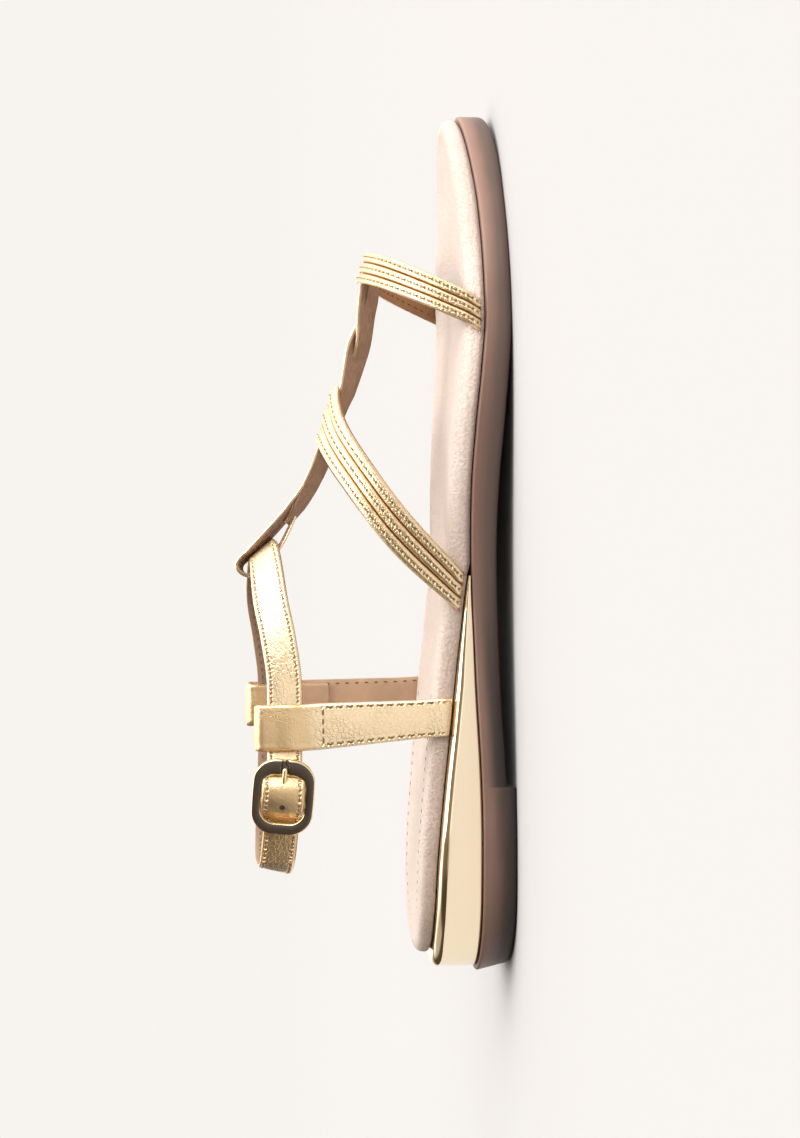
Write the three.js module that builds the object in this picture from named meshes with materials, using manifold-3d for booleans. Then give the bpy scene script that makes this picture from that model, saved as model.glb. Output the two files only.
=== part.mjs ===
// A flat gladiator sandal for the right foot, EU size 38, in millimetres.
// While it is built, X runs from the back of the heel to the toe, +Y is the inner side of the foot and
// Z is up from the floor. The finished group is moved so that its origin is under the middle of its box.
import * as THREE from "three";
import { mergeVertices } from "three/addons/utils/BufferGeometryUtils.js";
import Module from "manifold-3d";

// Sole
const SOLE_LENGTH = 250;
const BALL_WIDTH = 85;
const HEEL_ROUND = 32; // length of the rounded heel end
const TOE_ROUND = 52; // length of the rounded toe end
const HEEL_LIFT = 2.7; // extra rubber under the heel
const HEEL_BREAST = 55; // from the back to the step where that rubber ends
const ARCH_HOLLOW = 3.2; // how far the waist rises above the heel lift's slope
const TOE_SPRING = 1.6;
const OUTSOLE_EDGE = 7.2; // height of the rubber side wall
const OUTSOLE_ROUND = 2.2; // rounding of its lower edge
const WEDGE_LENGTH = 115;
const WEDGE_HEIGHT = 13; // at the heel
const WEDGE_SETBACK = 1.3; // step from the rubber's rim to the wedge
const WEDGE_BEVEL = 1.7; // rounded upper lip of the wedge
const INSOLE_PAD = 6.3; // thickness of the padded footbed
const INSOLE_SETBACK = 5.7; // step from the rubber's rim to the footbed, at the back of the heel
const INSOLE_DISH = 0.7; // how far the footbed sinks in the middle
const SEAM = 0.3; // gap between pieces that touch

// Upper
const INSTEP_HEIGHT = 75; // height of the last's ridge at the ankle
const INSTEP_PLACE = 120; // how far from the heel that ridge is reached
const PAD_SHOULDER = 2; // how far below the footbed's top the straps start to arch
const BAND_THICK = 2.2; // over the raised cords
const TOE_BAND_WIDTH = 8.4;
const INSTEP_BAND_WIDTH = 11;
const BAND_CORDS = 3;
const TUCK_THICK = 1.2; // strap ends, pared down to go under the footbed
const TUCK_DEPTH = 7;
const TUCK_LIFT = 0.25; // room left under a tucked end
const FOLD_RADIUS = 0.5;
const BRAID_WIDTH = 5.4; // width of one strip of the T-bar
const BRAID_THICK = 1.5;
const LOOP_WIDTH = 8; // the T-bar where it turns round the ankle strap
const LOOP_PLY = 1.2;

// Ankle strap and side straps
const ANKLE_WIDTH = 10;
const ANKLE_THICK = 1.6;
const ANKLE_HEIGHT = 66; // of the strap's middle line at the sides
const ANKLE_LENGTH = 92; // of the ring it forms, from back to front
const ANKLE_BREADTH = 54; // of that ring, across
const ANKLE_BACK = 31.5; // from the back of the sole to the ring
const QUARTER_WIDTH = 12.6;
const QUARTER_THICK = 1.5;
const QUARTER_PLACE = 75; // of its foot, from the back of the sole
const QUARTER_SLACK = 2.2; // room between the ankle strap's edges and the folded side strap
const QUARTER_SEWN = 11; // length below the ankle strap over which the fold is sewn down
const MEDIAL_LEAD = 5; // how much farther forward the straps stand on the inner side

// Buckle
const BUCKLE_LENGTH = 21.6;
const BUCKLE_HEIGHT = 17.6;
const BUCKLE_CORNER = 5.2;
const BUCKLE_RAIL = 2.2; // width of the upper and lower rails
const BUCKLE_HEEL_BAR = 3.1;
const BUCKLE_TOE_BAR = 3.7; // width of the bar that the prong lies on
const BUCKLE_THICK = 2;
const BUCKLE_PLACE = 54.2; // of its middle bar, from the back of the sole
const BUCKLE_TURN = -5; // degrees, in the plane of the strap
const BUCKLE_OUT = 4.3; // from the strap's middle surface to the middle of the frame
const BAR_RADIUS = 1;
const PRONG_RADIUS = 0.9;
const EYE_WALL = 0.8; // leather turned round the middle bar
const TAIL_LENGTH = 17; // strap beyond the middle bar
const TAIL_OUT = 3.4; // how far the tail's end stands off the ring's middle surface

const COLOURS = {
  outsole: 0x86665a,
  wedge: 0xf0dcae,
  insole: 0xd3bcae,
  gold: 0xe3c88c,
  frame: 0x2b2725,
  prong: 0xe8cf92,
};

// The sole from above. Shares: along of the sole's length, half and middle of the ball's width.
const SOLE_PLAN = [
  { along: 0.0, half: 0.353, middle: 0.0 },
  { along: 0.1, half: 0.353, middle: 0.0 },
  { along: 0.18, half: 0.374, middle: 0.0 },
  { along: 0.28, half: 0.368, middle: -0.015 },
  { along: 0.38, half: 0.353, middle: -0.029 },
  { along: 0.48, half: 0.359, middle: -0.047 },
  { along: 0.58, half: 0.403, middle: -0.056 },
  { along: 0.66, half: 0.456, middle: -0.044 },
  { along: 0.72, half: 0.488, middle: -0.024 },
  { along: 0.78, half: 0.497, middle: 0.003 },
  { along: 0.84, half: 0.484, middle: 0.029 },
  { along: 0.9, half: 0.462, middle: 0.053 },
  { along: 0.95, half: 0.456, middle: 0.071 },
  { along: 1.0, half: 0.456, middle: 0.082 },
];

// The sole from the side. Shares: lift of the heel lift, arch of the hollow, spring of the toe spring,
// edge of the rubber's side wall, pad of the footbed's thickness, setback of the footbed's setback.
const SOLE_SIDE = [
  { along: 0.0, lift: 1, arch: 0, spring: 0, edge: 1.0, pad: 0.66, setback: 1.0 },
  { along: 0.1, lift: 1, arch: 0, spring: 0, edge: 0.98, pad: 0.76, setback: 0.76 },
  { along: 0.22, lift: 1, arch: 0.03, spring: 0, edge: 0.97, pad: 0.84, setback: 0.58 },
  { along: 0.31, lift: 0.9, arch: 0.46, spring: 0, edge: 0.94, pad: 0.9, setback: 0.47 },
  { along: 0.375, lift: 0.75, arch: 0.74, spring: 0, edge: 0.94, pad: 0.94, setback: 0.41 },
  { along: 0.44, lift: 0.6, arch: 0.98, spring: 0, edge: 0.97, pad: 0.97, setback: 0.37 },
  { along: 0.505, lift: 0.45, arch: 1.09, spring: 0, edge: 1.0, pad: 1.0, setback: 0.33 },
  { along: 0.57, lift: 0.3, arch: 0.97, spring: 0, edge: 1.06, pad: 0.98, setback: 0.3 },
  { along: 0.636, lift: 0.17, arch: 0.61, spring: 0, edge: 1.09, pad: 0.99, setback: 0.28 },
  { along: 0.7, lift: 0.06, arch: 0.26, spring: 0, edge: 1.05, pad: 1.0, setback: 0.27 },
  { along: 0.76, lift: 0, arch: 0, spring: 0, edge: 1.03, pad: 1.0, setback: 0.26 },
  { along: 0.88, lift: 0, arch: 0, spring: 0, edge: 1.05, pad: 0.92, setback: 0.24 },
  { along: 0.95, lift: 0, arch: 0, spring: 0.25, edge: 1.15, pad: 0.84, setback: 0.2 },
  { along: 1.0, lift: 0, arch: 0, spring: 1, edge: 1.16, pad: 0.74, setback: 0.17 },
];

// How the wedge runs out. Shares: along of its length, height of its height.
const WEDGE_SIDE = [
  { along: 0.0, height: 0.96 },
  { along: 0.1, height: 1.0 },
  { along: 0.2, height: 0.98 },
  { along: 0.3, height: 0.94 },
  { along: 0.4, height: 0.86 },
  { along: 0.5, height: 0.75 },
  { along: 0.6, height: 0.61 },
  { along: 0.7, height: 0.47 },
  { along: 0.8, height: 0.335 },
  { along: 0.9, height: 0.19 },
  { along: 1.0, height: 0.05 },
];

// The ridge of the last over the foot. Shares: along of the way from the ankle (0) to the toe (1),
// ridge of the instep's height.
const LAST_RIDGE = [
  { along: -0.2, ridge: 1.4 },
  { along: 0.0, ridge: 1.0 },
  { along: 0.055, ridge: 0.895 },
  { along: 0.108, ridge: 0.818 },
  { along: 0.2, ridge: 0.735 },
  { along: 0.27, ridge: 0.69 },
  { along: 0.34, ridge: 0.652 },
  { along: 0.4, ridge: 0.613 },
  { along: 0.485, ridge: 0.562 },
  { along: 0.577, ridge: 0.53 },
  { along: 0.623, ridge: 0.519 },
  { along: 0.654, ridge: 0.504 },
  { along: 0.685, ridge: 0.481 },
  { along: 0.731, ridge: 0.44 },
  { along: 1.0, ridge: 0.3 },
];

// One side of each band, from its foot over to the ridge. turn is the share of the quarter turn round
// the last, along a share of the sole's length, spread the band's width along the sole as a share of
// its own width. foot is where it meets the seam of the sole.
const TOE_BAND = {
  width: TOE_BAND_WIDTH,
  lead: MEDIAL_LEAD,
  foot: { along: 0.752, spread: 1.07 },
  rows: [
    { turn: 0.0, along: 0.762, spread: 1.1 },
    { turn: 0.34, along: 0.791, spread: 1.15 },
    { turn: 0.65, along: 0.811, spread: 1.08 },
    { turn: 1.0, along: 0.821, spread: 1.02 },
  ],
};
const INSTEP_BAND = {
  width: INSTEP_BAND_WIDTH,
  lead: MEDIAL_LEAD,
  foot: { along: 0.44, spread: 0.98 },
  rows: [
    { turn: 0.0, along: 0.453, spread: 1.05 },
    { turn: 0.114, along: 0.488, spread: 1.12 },
    { turn: 0.271, along: 0.529, spread: 1.15 },
    { turn: 0.455, along: 0.574, spread: 1.12 },
    { turn: 0.62, along: 0.603, spread: 1.14 },
    { turn: 0.82, along: 0.634, spread: 1.32 },
    { turn: 1.0, along: 0.657, spread: 1.64 },
  ],
};

// Across one raised cord of a band, and through its thickness. Shares of the cord's width and height.
const CORD = [
  { across: 0.04, height: 0.55 },
  { across: 0.22, height: 0.94 },
  { across: 0.5, height: 1.0 },
  { across: 0.78, height: 0.94 },
  { across: 0.96, height: 0.55 },
];

// Strips of the T-bar. Shares: along of the sole's length, across of the braid's width, sink of its
// width below the last's ridge. lean is how far the outer edge is turned up, in degrees.
const BRAID = {
  under: [
    { along: 0.655, across: -0.2, sink: 0.5, lean: 50 },
    { along: 0.69, across: -0.25, sink: 0.52, lean: 52 },
    { along: 0.72, across: -0.2, sink: 0.5, lean: 50 },
    { along: 0.755, across: -0.15, sink: 0.55, lean: 48 },
    { along: 0.79, across: -0.1, sink: 0.5, lean: 40 },
    { along: 0.82, across: 0.0, sink: 0.4, lean: 20 },
  ],
  over: [
    { along: 0.65, across: -0.35, sink: 0.05, lean: 35 },
    { along: 0.685, across: -0.4, sink: 0.02, lean: 48 },
    { along: 0.715, across: -0.2, sink: -0.05, lean: 45 },
    { along: 0.735, across: 0.2, sink: -0.05, lean: 20 },
    { along: 0.76, across: 0.65, sink: 0.12, lean: -15 },
    { along: 0.79, across: 0.75, sink: 0.3, lean: -10 },
    { along: 0.815, across: 0.6, sink: 0.3, lean: 0 },
  ],
  through: [
    { along: 0.65, across: 0.6, sink: 0.2, lean: 0 },
    { along: 0.685, across: 0.65, sink: 0.25, lean: 10 },
    { along: 0.71, across: 0.3, sink: 0.3, lean: 35 },
    { along: 0.735, across: -0.15, sink: 0.2, lean: 50 },
    { along: 0.765, across: -0.3, sink: 0.08, lean: 48 },
    { along: 0.795, across: -0.25, sink: 0.05, lean: 35 },
    { along: 0.815, across: -0.2, sink: 0.1, lean: 15 },
  ],
  back: [
    { along: 0.545, across: 0.0, sink: 0.15, lean: 10 },
    { along: 0.57, across: 0.0, sink: 0.2, lean: 28 },
    { along: 0.6, across: -0.05, sink: 0.3, lean: 46 },
    { along: 0.63, across: -0.1, sink: 0.3, lean: 50 },
    { along: 0.665, across: -0.1, sink: 0.3, lean: 45 },
  ],
};

// The T-bar's fold round the front of the ankle strap, seen from the side. Shares: up of the ankle
// strap's width from its middle, out of the room that the strap and one ply take.
const LOOP = [
  { up: 0.28, out: 1.0 },
  { up: 0.55, out: 1.02 },
  { up: 0.74, out: 0.8 },
  { up: 0.84, out: 0.05 },
  { up: 0.85, out: -0.9 },
  { up: 0.76, out: -1.75 },
  { up: 0.58, out: -1.85 },
  { up: 0.3, out: -1.5 },
  { up: -0.1, out: -1.45 },
  { up: -0.42, out: -1.5 },
];

// The ankle strap from the side. Shares: along of the ring from back to front, height of the ankle
// height. lean is how far its upper edge leans inwards, in degrees.
const ANKLE_SIDE = [
  { along: 0.0, height: 1.03, lean: 14 },
  { along: 0.08, height: 1.02, lean: 10 },
  { along: 0.3, height: 0.998, lean: 4 },
  { along: 0.58, height: 0.99, lean: 4 },
  { along: 0.73, height: 1.012, lean: 8 },
  { along: 0.85, height: 1.04, lean: 16 },
  { along: 1.0, height: 1.055, lean: 39 },
];

// The strap through the buckle. Shares: from is the distance towards the toe from the middle bar, of
// the buckle's length, out of the height at which the strap passes over that bar.
const BUCKLE_PASS = [
  { from: -0.55, out: 0.33 },
  { from: -0.43, out: 0.31 },
  { from: -0.32, out: 0.38 },
  { from: -0.23, out: 0.58 },
  { from: -0.12, out: 0.88 },
  { from: 0.0, out: 1.0 },
  { from: 0.12, out: 0.84 },
  { from: 0.21, out: 0.52 },
  { from: 0.3, out: 0.28 },
  { from: 0.44, out: 0.14 },
  { from: 0.6, out: 0.0 },
];

const kernel = await Module();
kernel.setup();

// The value of one column at a place along a table, on a smooth curve through its rows that is level
// at each row where the values turn, so it never runs past them.
function follow(rows, key, column, place) {
  const end = rows.length - 1;
  if (place <= rows[0][key]) return rows[0][column];
  if (place >= rows[end][key]) return rows[end][column];
  let k = 0;
  while (place > rows[k + 1][key]) k += 1;
  const slope = (i) => {
    const before = rows[Math.max(i - 1, 0)];
    const after = rows[Math.min(i + 1, end)];
    const turns = (rows[i][column] - before[column]) * (after[column] - rows[i][column]) <= 0;
    if (turns && i > 0 && i < end) return 0;
    return (after[column] - before[column]) / (after[key] - before[key]);
  };
  const span = rows[k + 1][key] - rows[k][key];
  const t = (place - rows[k][key]) / span;
  const rise = rows[k + 1][column] - rows[k][column];
  const start = slope(k) * span;
  const stop = slope(k + 1) * span;
  return rows[k][column] + t * start + t * t * (3 * rise - 2 * start - stop)
    + t * t * t * (start + stop - 2 * rise);
}

// Corners and triangles of a closed surface. Corners at one place are one corner.
class Facets {
  constructor() {
    this.places = [];
    this.known = new Map();
    this.corners = [];
  }

  point(place) {
    const key = [place.x, place.y, place.z].map((value) => value.toFixed(4)).join();
    if (!this.known.has(key)) {
      this.known.set(key, this.places.length / 3);
      this.places.push(place.x, place.y, place.z);
    }
    return this.known.get(key);
  }

  triangle(a, b, c) {
    if (a !== b && b !== c && c !== a) this.corners.push(a, b, c);
  }

  quad(a, b, c, d) {
    this.triangle(a, b, c);
    this.triangle(a, c, d);
  }

  geometry() {
    const made = new THREE.BufferGeometry();
    made.setAttribute("position", new THREE.Float32BufferAttribute(this.places, 3));
    made.setIndex(this.corners);
    return made;
  }
}

// A geometry as a solid that can be joined and cut, and back.
function solidOf(geometry) {
  const bare = geometry.clone();
  bare.deleteAttribute("normal");
  bare.deleteAttribute("uv");
  const merged = mergeVertices(bare, 1e-4);
  return new kernel.Manifold(new kernel.Mesh({
    numProp: 3,
    vertProperties: merged.attributes.position.array,
    triVerts: new Uint32Array(merged.index.array),
  }));
}

function geometryOf(solid) {
  const mesh = solid.getMesh();
  const made = new THREE.BufferGeometry();
  made.setAttribute("position", new THREE.BufferAttribute(Float32Array.from(mesh.vertProperties), 3));
  made.setIndex(new THREE.BufferAttribute(Uint32Array.from(mesh.triVerts), 1));
  return made;
}

function join(...geometries) {
  return geometryOf(geometries.map(solidOf).reduce((sum, next) => sum.add(next)));
}

function cut(geometry, ...tools) {
  return geometryOf(tools.map(solidOf).reduce((left, tool) => left.subtract(tool), solidOf(geometry)));
}

// How much of the sole's width its rounded ends leave at x.
function endRound(x) {
  const heel = Math.max(0, 1 - x / HEEL_ROUND);
  const toe = Math.max(0, 1 - (SOLE_LENGTH - x) / TOE_ROUND);
  return Math.max(0, 1 - heel ** 2) ** (1 / 2) * Math.max(0, 1 - toe ** 1.85) ** (1 / 1.85);
}

// A point of the rubber's edge. side is -1 on the outer side of the foot and 1 on the inner side.
function rim(x, side) {
  const share = x / SOLE_LENGTH;
  const half = follow(SOLE_PLAN, "along", "half", share) * endRound(x);
  const middle = follow(SOLE_PLAN, "along", "middle", share);
  return new THREE.Vector2(x, BALL_WIDTH * (middle + side * half));
}

// The same edge set in by a distance, with the direction that faces out.
function edgeAt(x, side, inset) {
  const angle = Math.acos(1 - (2 * x) / SOLE_LENGTH);
  const nearby = (turn) => {
    const flip = turn < 0 || turn > Math.PI ? -side : side;
    return rim(((1 - Math.cos(turn)) / 2) * SOLE_LENGTH, flip);
  };
  const step = 0.02;
  const run = nearby(angle + step).sub(nearby(angle - step)).normalize();
  const out = new THREE.Vector2(-side * run.y, side * run.x);
  if (out.dot(new THREE.Vector2(x - SOLE_LENGTH / 2, side * BALL_WIDTH)) < 0) out.negate();
  const at = rim(x, side).addScaledVector(out, -inset);
  return { at, out };
}

const sideShare = (column, x) => follow(SOLE_SIDE, "along", column, x / SOLE_LENGTH);

function plateUnder(x) {
  return HEEL_LIFT * sideShare("lift", x) + ARCH_HOLLOW * sideShare("arch", x)
    + TOE_SPRING * sideShare("spring", x);
}

const outsoleUnder = (x) => (x < HEEL_BREAST ? 0 : plateUnder(x));
const outsoleTop = (x) => plateUnder(x) + OUTSOLE_EDGE * sideShare("edge", x);
const wedgeThick = (x) => WEDGE_HEIGHT * follow(WEDGE_SIDE, "along", "height", x / WEDGE_LENGTH);
const insoleInset = (x) => INSOLE_SETBACK * sideShare("setback", x);
const insoleThick = (x) => INSOLE_PAD * sideShare("pad", x);

// The footbed lies on the wedge, and past the wedge's end on the rubber.
function insoleUnder(x) {
  const runOut = 3;
  const past = Math.min(Math.max((x - WEDGE_LENGTH - SEAM) / runOut, 0), 1);
  return outsoleTop(x) + SEAM + (wedgeThick(x) + SEAM) * (1 - past);
}

const insoleTop = (x) => insoleUnder(x) + insoleThick(x);

// Places along the sole, closer together at its round ends, with the step of the heel and the wedge's end.
function solePlaces(end) {
  const count = 34;
  const marks = [HEEL_BREAST - 0.3, HEEL_BREAST + 0.3, WEDGE_LENGTH, WEDGE_LENGTH + 3 + SEAM];
  const regular = Array.from({ length: count + 1 }, (_, i) => ((1 - Math.cos((Math.PI * i) / count)) / 2)
    * SOLE_LENGTH);
  const clear = regular.filter((x) => marks.every((mark) => Math.abs(mark - x) > 1.5));
  return [...clear, ...marks].filter((x) => x <= end).sort((a, b) => a - b);
}

// A layer of the sole from rings stacked upwards, each set in from the rim and at its own height.
function soleLayer(places, rings, dish = 0) {
  const facets = new Facets();
  const corner = (ring, x, side) => {
    const { at } = edgeAt(x, side, ring.inset(x));
    return new THREE.Vector3(at.x, at.y, ring.height(at.x));
  };
  const sides = [-1, 1].map((side) => rings.map((ring) => places.map((x) => corner(ring, x, side))));
  const [outer, inner] = sides.map((side) => side.map((ring) => ring.map((place) => facets.point(place))));
  const last = places.length - 1;
  for (let k = 0; k + 1 < rings.length; k += 1) {
    for (let i = 0; i < last; i += 1) {
      facets.quad(outer[k][i], outer[k][i + 1], outer[k + 1][i + 1], outer[k + 1][i]);
      facets.quad(inner[k][i + 1], inner[k][i], inner[k + 1][i], inner[k + 1][i + 1]);
    }
    facets.quad(inner[k][0], outer[k][0], outer[k + 1][0], inner[k + 1][0]);
    facets.quad(outer[k][last], inner[k][last], inner[k + 1][last], outer[k + 1][last]);
  }
  const across = dish ? [0, 0.2, 0.5, 0.8, 1] : [0, 1];
  const top = rings.length - 1;
  const cover = places.map((x, i) => across.map((share) => {
    const place = sides[0][top][i].clone().lerp(sides[1][top][i], share);
    const span = sides[0][top][i].distanceTo(sides[1][top][i]);
    place.z -= dish * Math.sin(Math.PI * share) * Math.min(1, span / BALL_WIDTH * 2);
    return facets.point(place);
  }));
  for (let i = 0; i < last; i += 1) {
    facets.quad(outer[0][i], inner[0][i], inner[0][i + 1], outer[0][i + 1]);
    for (let j = 0; j + 1 < across.length; j += 1) {
      facets.quad(cover[i][j], cover[i + 1][j], cover[i + 1][j + 1], cover[i][j + 1]);
    }
  }
  return facets.geometry();
}

function outsole() {
  const ring = (inset, height) => ({ inset: () => inset, height });
  return soleLayer(solePlaces(SOLE_LENGTH), [
    ring(OUTSOLE_ROUND, outsoleUnder),
    ring(OUTSOLE_ROUND * 0.35, (x) => outsoleUnder(x) + OUTSOLE_ROUND * 0.3),
    ring(0.2, (x) => outsoleUnder(x) + OUTSOLE_ROUND),
    ring(0, (x) => outsoleTop(x) - 0.7),
    ring(0.25, (x) => outsoleTop(x) - 0.15),
    ring(0.8, outsoleTop),
  ]);
}

function wedge() {
  const floor = (x) => outsoleTop(x) + SEAM;
  const lip = (x) => Math.min(WEDGE_BEVEL, wedgeThick(x) * 0.45);
  const ring = (inset, height) => ({ inset, height });
  return soleLayer(solePlaces(WEDGE_LENGTH), [
    ring(() => WEDGE_SETBACK + 0.3, floor),
    ring(() => WEDGE_SETBACK, (x) => floor(x) + wedgeThick(x) * 0.06),
    ring(() => WEDGE_SETBACK, (x) => floor(x) + wedgeThick(x) - lip(x)),
    ring((x) => WEDGE_SETBACK + lip(x) * 0.3, (x) => floor(x) + wedgeThick(x) - lip(x) * 0.3),
    ring((x) => WEDGE_SETBACK + lip(x), (x) => floor(x) + wedgeThick(x)),
  ]);
}

// Across the footbed's pillow edge. Shares: in of its thickness set in from its side, up of its height.
const PILLOW = [
  { in: 0.22, up: 0 },
  { in: 0.03, up: 0.17 },
  { in: 0.0, up: 0.42 },
  { in: 0.06, up: 0.66 },
  { in: 0.2, up: 0.84 },
  { in: 0.45, up: 0.95 },
  { in: 0.9, up: 1 },
];

function insole() {
  const rings = PILLOW.map((row) => ({
    inset: (x) => insoleInset(x) + row.in * insoleThick(x),
    height: (x) => insoleUnder(x) + row.up * insoleThick(x),
  }));
  return soleLayer(solePlaces(SOLE_LENGTH), rings, INSOLE_DISH);
}

// A closed solid through rings of as many points each. outline gives the ring's shape for the end caps.
function loft(rings, outline) {
  const facets = new Facets();
  const ids = rings.map((ring) => ring.map((place) => facets.point(place)));
  const count = outline.length;
  for (let k = 0; k + 1 < rings.length; k += 1) {
    for (let i = 0; i < count; i += 1) {
      const j = (i + 1) % count;
      facets.quad(ids[k][i], ids[k][j], ids[k + 1][j], ids[k + 1][i]);
    }
  }
  const end = ids.length - 1;
  for (const [a, b, c] of THREE.ShapeUtils.triangulateShape(outline, [])) {
    facets.triangle(ids[0][a], ids[0][b], ids[0][c]);
    facets.triangle(ids[end][a], ids[end][c], ids[end][b]);
  }
  return facets.geometry();
}

// A flat strap's section with small round corners, as shares of half its width and half its thickness.
const STRAP_SECTION = [
  [-1, 0.45], [-0.9, 1], [0.9, 1], [1, 0.45], [1, -0.45], [0.9, -1], [-0.9, -1], [-1, -0.45],
].map(([x, y]) => new THREE.Vector2(x, y));

// A strap swept through stations: at is its middle, out faces away from the foot, wide lies across it.
function strap(stations, width, thick) {
  const rings = stations.map(({ at, out }, i) => {
    const before = stations[Math.max(i - 1, 0)].at;
    const after = stations[Math.min(i + 1, stations.length - 1)].at;
    const wide = stations[i].wide ?? new THREE.Vector3().subVectors(after, before).cross(out).normalize();
    return STRAP_SECTION.map((corner) => at.clone().addScaledVector(wide, (corner.x * width) / 2)
      .addScaledVector(out, (corner.y * thick) / 2));
  });
  return loft(rings, STRAP_SECTION);
}

// The last: its ridge over the foot, and the shoulders of the footbed from which its sides rise.
function ridge(x) {
  const share = (x - INSTEP_PLACE) / (SOLE_LENGTH - INSTEP_PLACE);
  return INSTEP_HEIGHT * follow(LAST_RIDGE, "along", "ridge", share);
}

function wallAt(x, side) {
  const { at, out } = edgeAt(x, side, insoleInset(x) - SEAM);
  return { at: new THREE.Vector3(at.x, at.y, 0), out: new THREE.Vector3(out.x, out.y, 0) };
}

const shoulder = (x) => insoleTop(x) - PAD_SHOULDER;

// A point on the last's side, round from the outer shoulder at 0 degrees over the ridge to 180.
function archPoint(x, degrees) {
  const angle = THREE.MathUtils.degToRad(degrees);
  const side = degrees < 90 ? -1 : 1;
  const wall = wallAt(x, side);
  const reach = Math.abs(Math.cos(angle));
  return new THREE.Vector3(
    x + (wall.at.x - x) * reach,
    wall.at.y * reach,
    shoulder(x) + (ridge(x) - shoulder(x)) * Math.sin(angle),
  );
}

function arch(x, degrees) {
  const step = 0.5;
  const round = archPoint(x, degrees + step).sub(archPoint(x, degrees - step));
  const along = archPoint(x + step, degrees).sub(archPoint(x - step, degrees));
  return { at: archPoint(x, degrees), out: along.cross(round).normalize() };
}

// The way of a strap's inner face below the shoulder. part runs 0 to 1 down the footbed's side, to 2
// round its lower edge and to 3 in under it.
function hem(x, side, part) {
  const { at, out } = wallAt(x, side);
  const flat = insoleUnder(x) + TUCK_THICK + TUCK_LIFT;
  const up = new THREE.Vector3(0, 0, 1);
  if (part <= 1) {
    at.z = THREE.MathUtils.lerp(shoulder(x), flat + FOLD_RADIUS, part);
    return { at, out };
  }
  const turn = (Math.min(part - 1, 1) * Math.PI) / 2;
  const facing = out.clone().multiplyScalar(Math.cos(turn)).addScaledVector(up, -Math.sin(turn));
  const centre = at.clone().addScaledVector(out, -FOLD_RADIUS).setZ(flat + FOLD_RADIUS);
  const place = centre.addScaledVector(facing, FOLD_RADIUS);
  if (part > 2) place.addScaledVector(out, -(part - 2) * TUCK_DEPTH);
  return { at: place, out: facing };
}

// The outline of a band's section with its raised cords, then its inner face back again.
function bandSection() {
  const outer = Array.from({ length: BAND_CORDS }, (_, cord) => CORD.map((row) => (
    new THREE.Vector2((cord + row.across) / BAND_CORDS - 0.5, row.height)))).flat();
  const inner = [0.5, 0.17, -0.17, -0.5].map((across) => new THREE.Vector2(across, 0));
  return [...outer, ...inner];
}

// One ring of a band. grow widens it on every side, for the pocket that it needs.
function bandRing(outline, band, place, grow = 0) {
  const flat = THREE.MathUtils.clamp(place.flat, 0, 1);
  const below = grow > 0 ? grow + TUCK_LIFT : 0;
  return outline.map((corner) => {
    const x = place.x + corner.x * (place.spread * band.width + 2 * grow);
    const { at, out } = place.surface(x);
    const full = corner.y * THREE.MathUtils.lerp(BAND_THICK, TUCK_THICK, flat);
    const height = corner.y > 0 ? THREE.MathUtils.lerp(full, TUCK_THICK, flat) + below : -grow;
    return at.clone().addScaledVector(out, height);
  });
}

// The rings of a band's end on one side, from the shoulder to the end of its tuck.
function hemPlaces(band, side, parts) {
  const lead = side > 0 ? band.lead : 0;
  const start = band.rows[0];
  return parts.map((part) => {
    const down = Math.min(part, 1);
    return {
      x: THREE.MathUtils.lerp(start.along, band.foot.along, down) * SOLE_LENGTH + lead,
      spread: THREE.MathUtils.lerp(start.spread, band.foot.spread, down),
      flat: part - 0.9,
      surface: (x) => hem(x, side, part),
    };
  });
}

function archPlace(band, degrees) {
  const turn = 1 - Math.abs(degrees - 90) / 90;
  const lead = degrees > 90 ? band.lead * Math.cos(THREE.MathUtils.degToRad(180 - degrees)) : 0;
  return {
    x: follow(band.rows, "turn", "along", turn) * SOLE_LENGTH + lead,
    spread: follow(band.rows, "turn", "spread", turn),
    flat: 0,
    surface: (x) => arch(x, degrees),
  };
}

const HEM_PARTS = [0.45, 1, 1.33, 1.67, 2, 3];

function bandSolid(band) {
  const turns = [0, 5, 11, 18, 26, 34, 42, 50, 58, 66, 74, 82, 87, 90];
  const over = [...turns, ...turns.slice(0, -1).reverse().map((turn) => 180 - turn)];
  const places = [
    ...hemPlaces(band, -1, [...HEM_PARTS].reverse()),
    ...over.map((degrees) => archPlace(band, degrees)),
    ...hemPlaces(band, 1, HEM_PARTS),
  ];
  const outline = bandSection();
  return loft(places.map((place) => bandRing(outline, band, place)), outline);
}

// The room that a band's end takes out of the footbed.
function bandPocket(band, side) {
  const depth = SEAM / TUCK_DEPTH;
  const places = hemPlaces(band, side, [0.5, 1, 1.5, 2, 3 + depth]);
  const ordered = side < 0 ? places.reverse() : places;
  const outline = bandSection();
  return loft(ordered.map((place) => bandRing(outline, band, place, SEAM)), outline);
}

// A strip of the T-bar through a table's rows.
function strip(rows, width = BRAID_WIDTH) {
  const at = (row) => {
    const x = row.along * SOLE_LENGTH;
    return new THREE.Vector3(x, row.across * BRAID_WIDTH, ridge(x) - row.sink * BRAID_WIDTH);
  };
  const first = rows[0].along;
  const last = rows[rows.length - 1].along;
  const steps = (rows.length - 1) * 2;
  const column = (name, along) => follow(rows, "along", name, along);
  const row = (along) => ({ along, across: column("across", along), sink: column("sink", along) });
  const small = 0.002;
  const stations = Array.from({ length: steps + 1 }, (_, i) => {
    const along = THREE.MathUtils.lerp(first, last, i / steps);
    const run = at(row(along + small)).sub(at(row(along - small))).normalize();
    const level = new THREE.Vector3(0, 0, 1).addScaledVector(run, -run.z).normalize();
    const out = level.applyAxisAngle(run, THREE.MathUtils.degToRad(-column("lean", along)));
    return { at: at(row(along)), out };
  });
  return strap(stations, width, BRAID_THICK);
}

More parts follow.
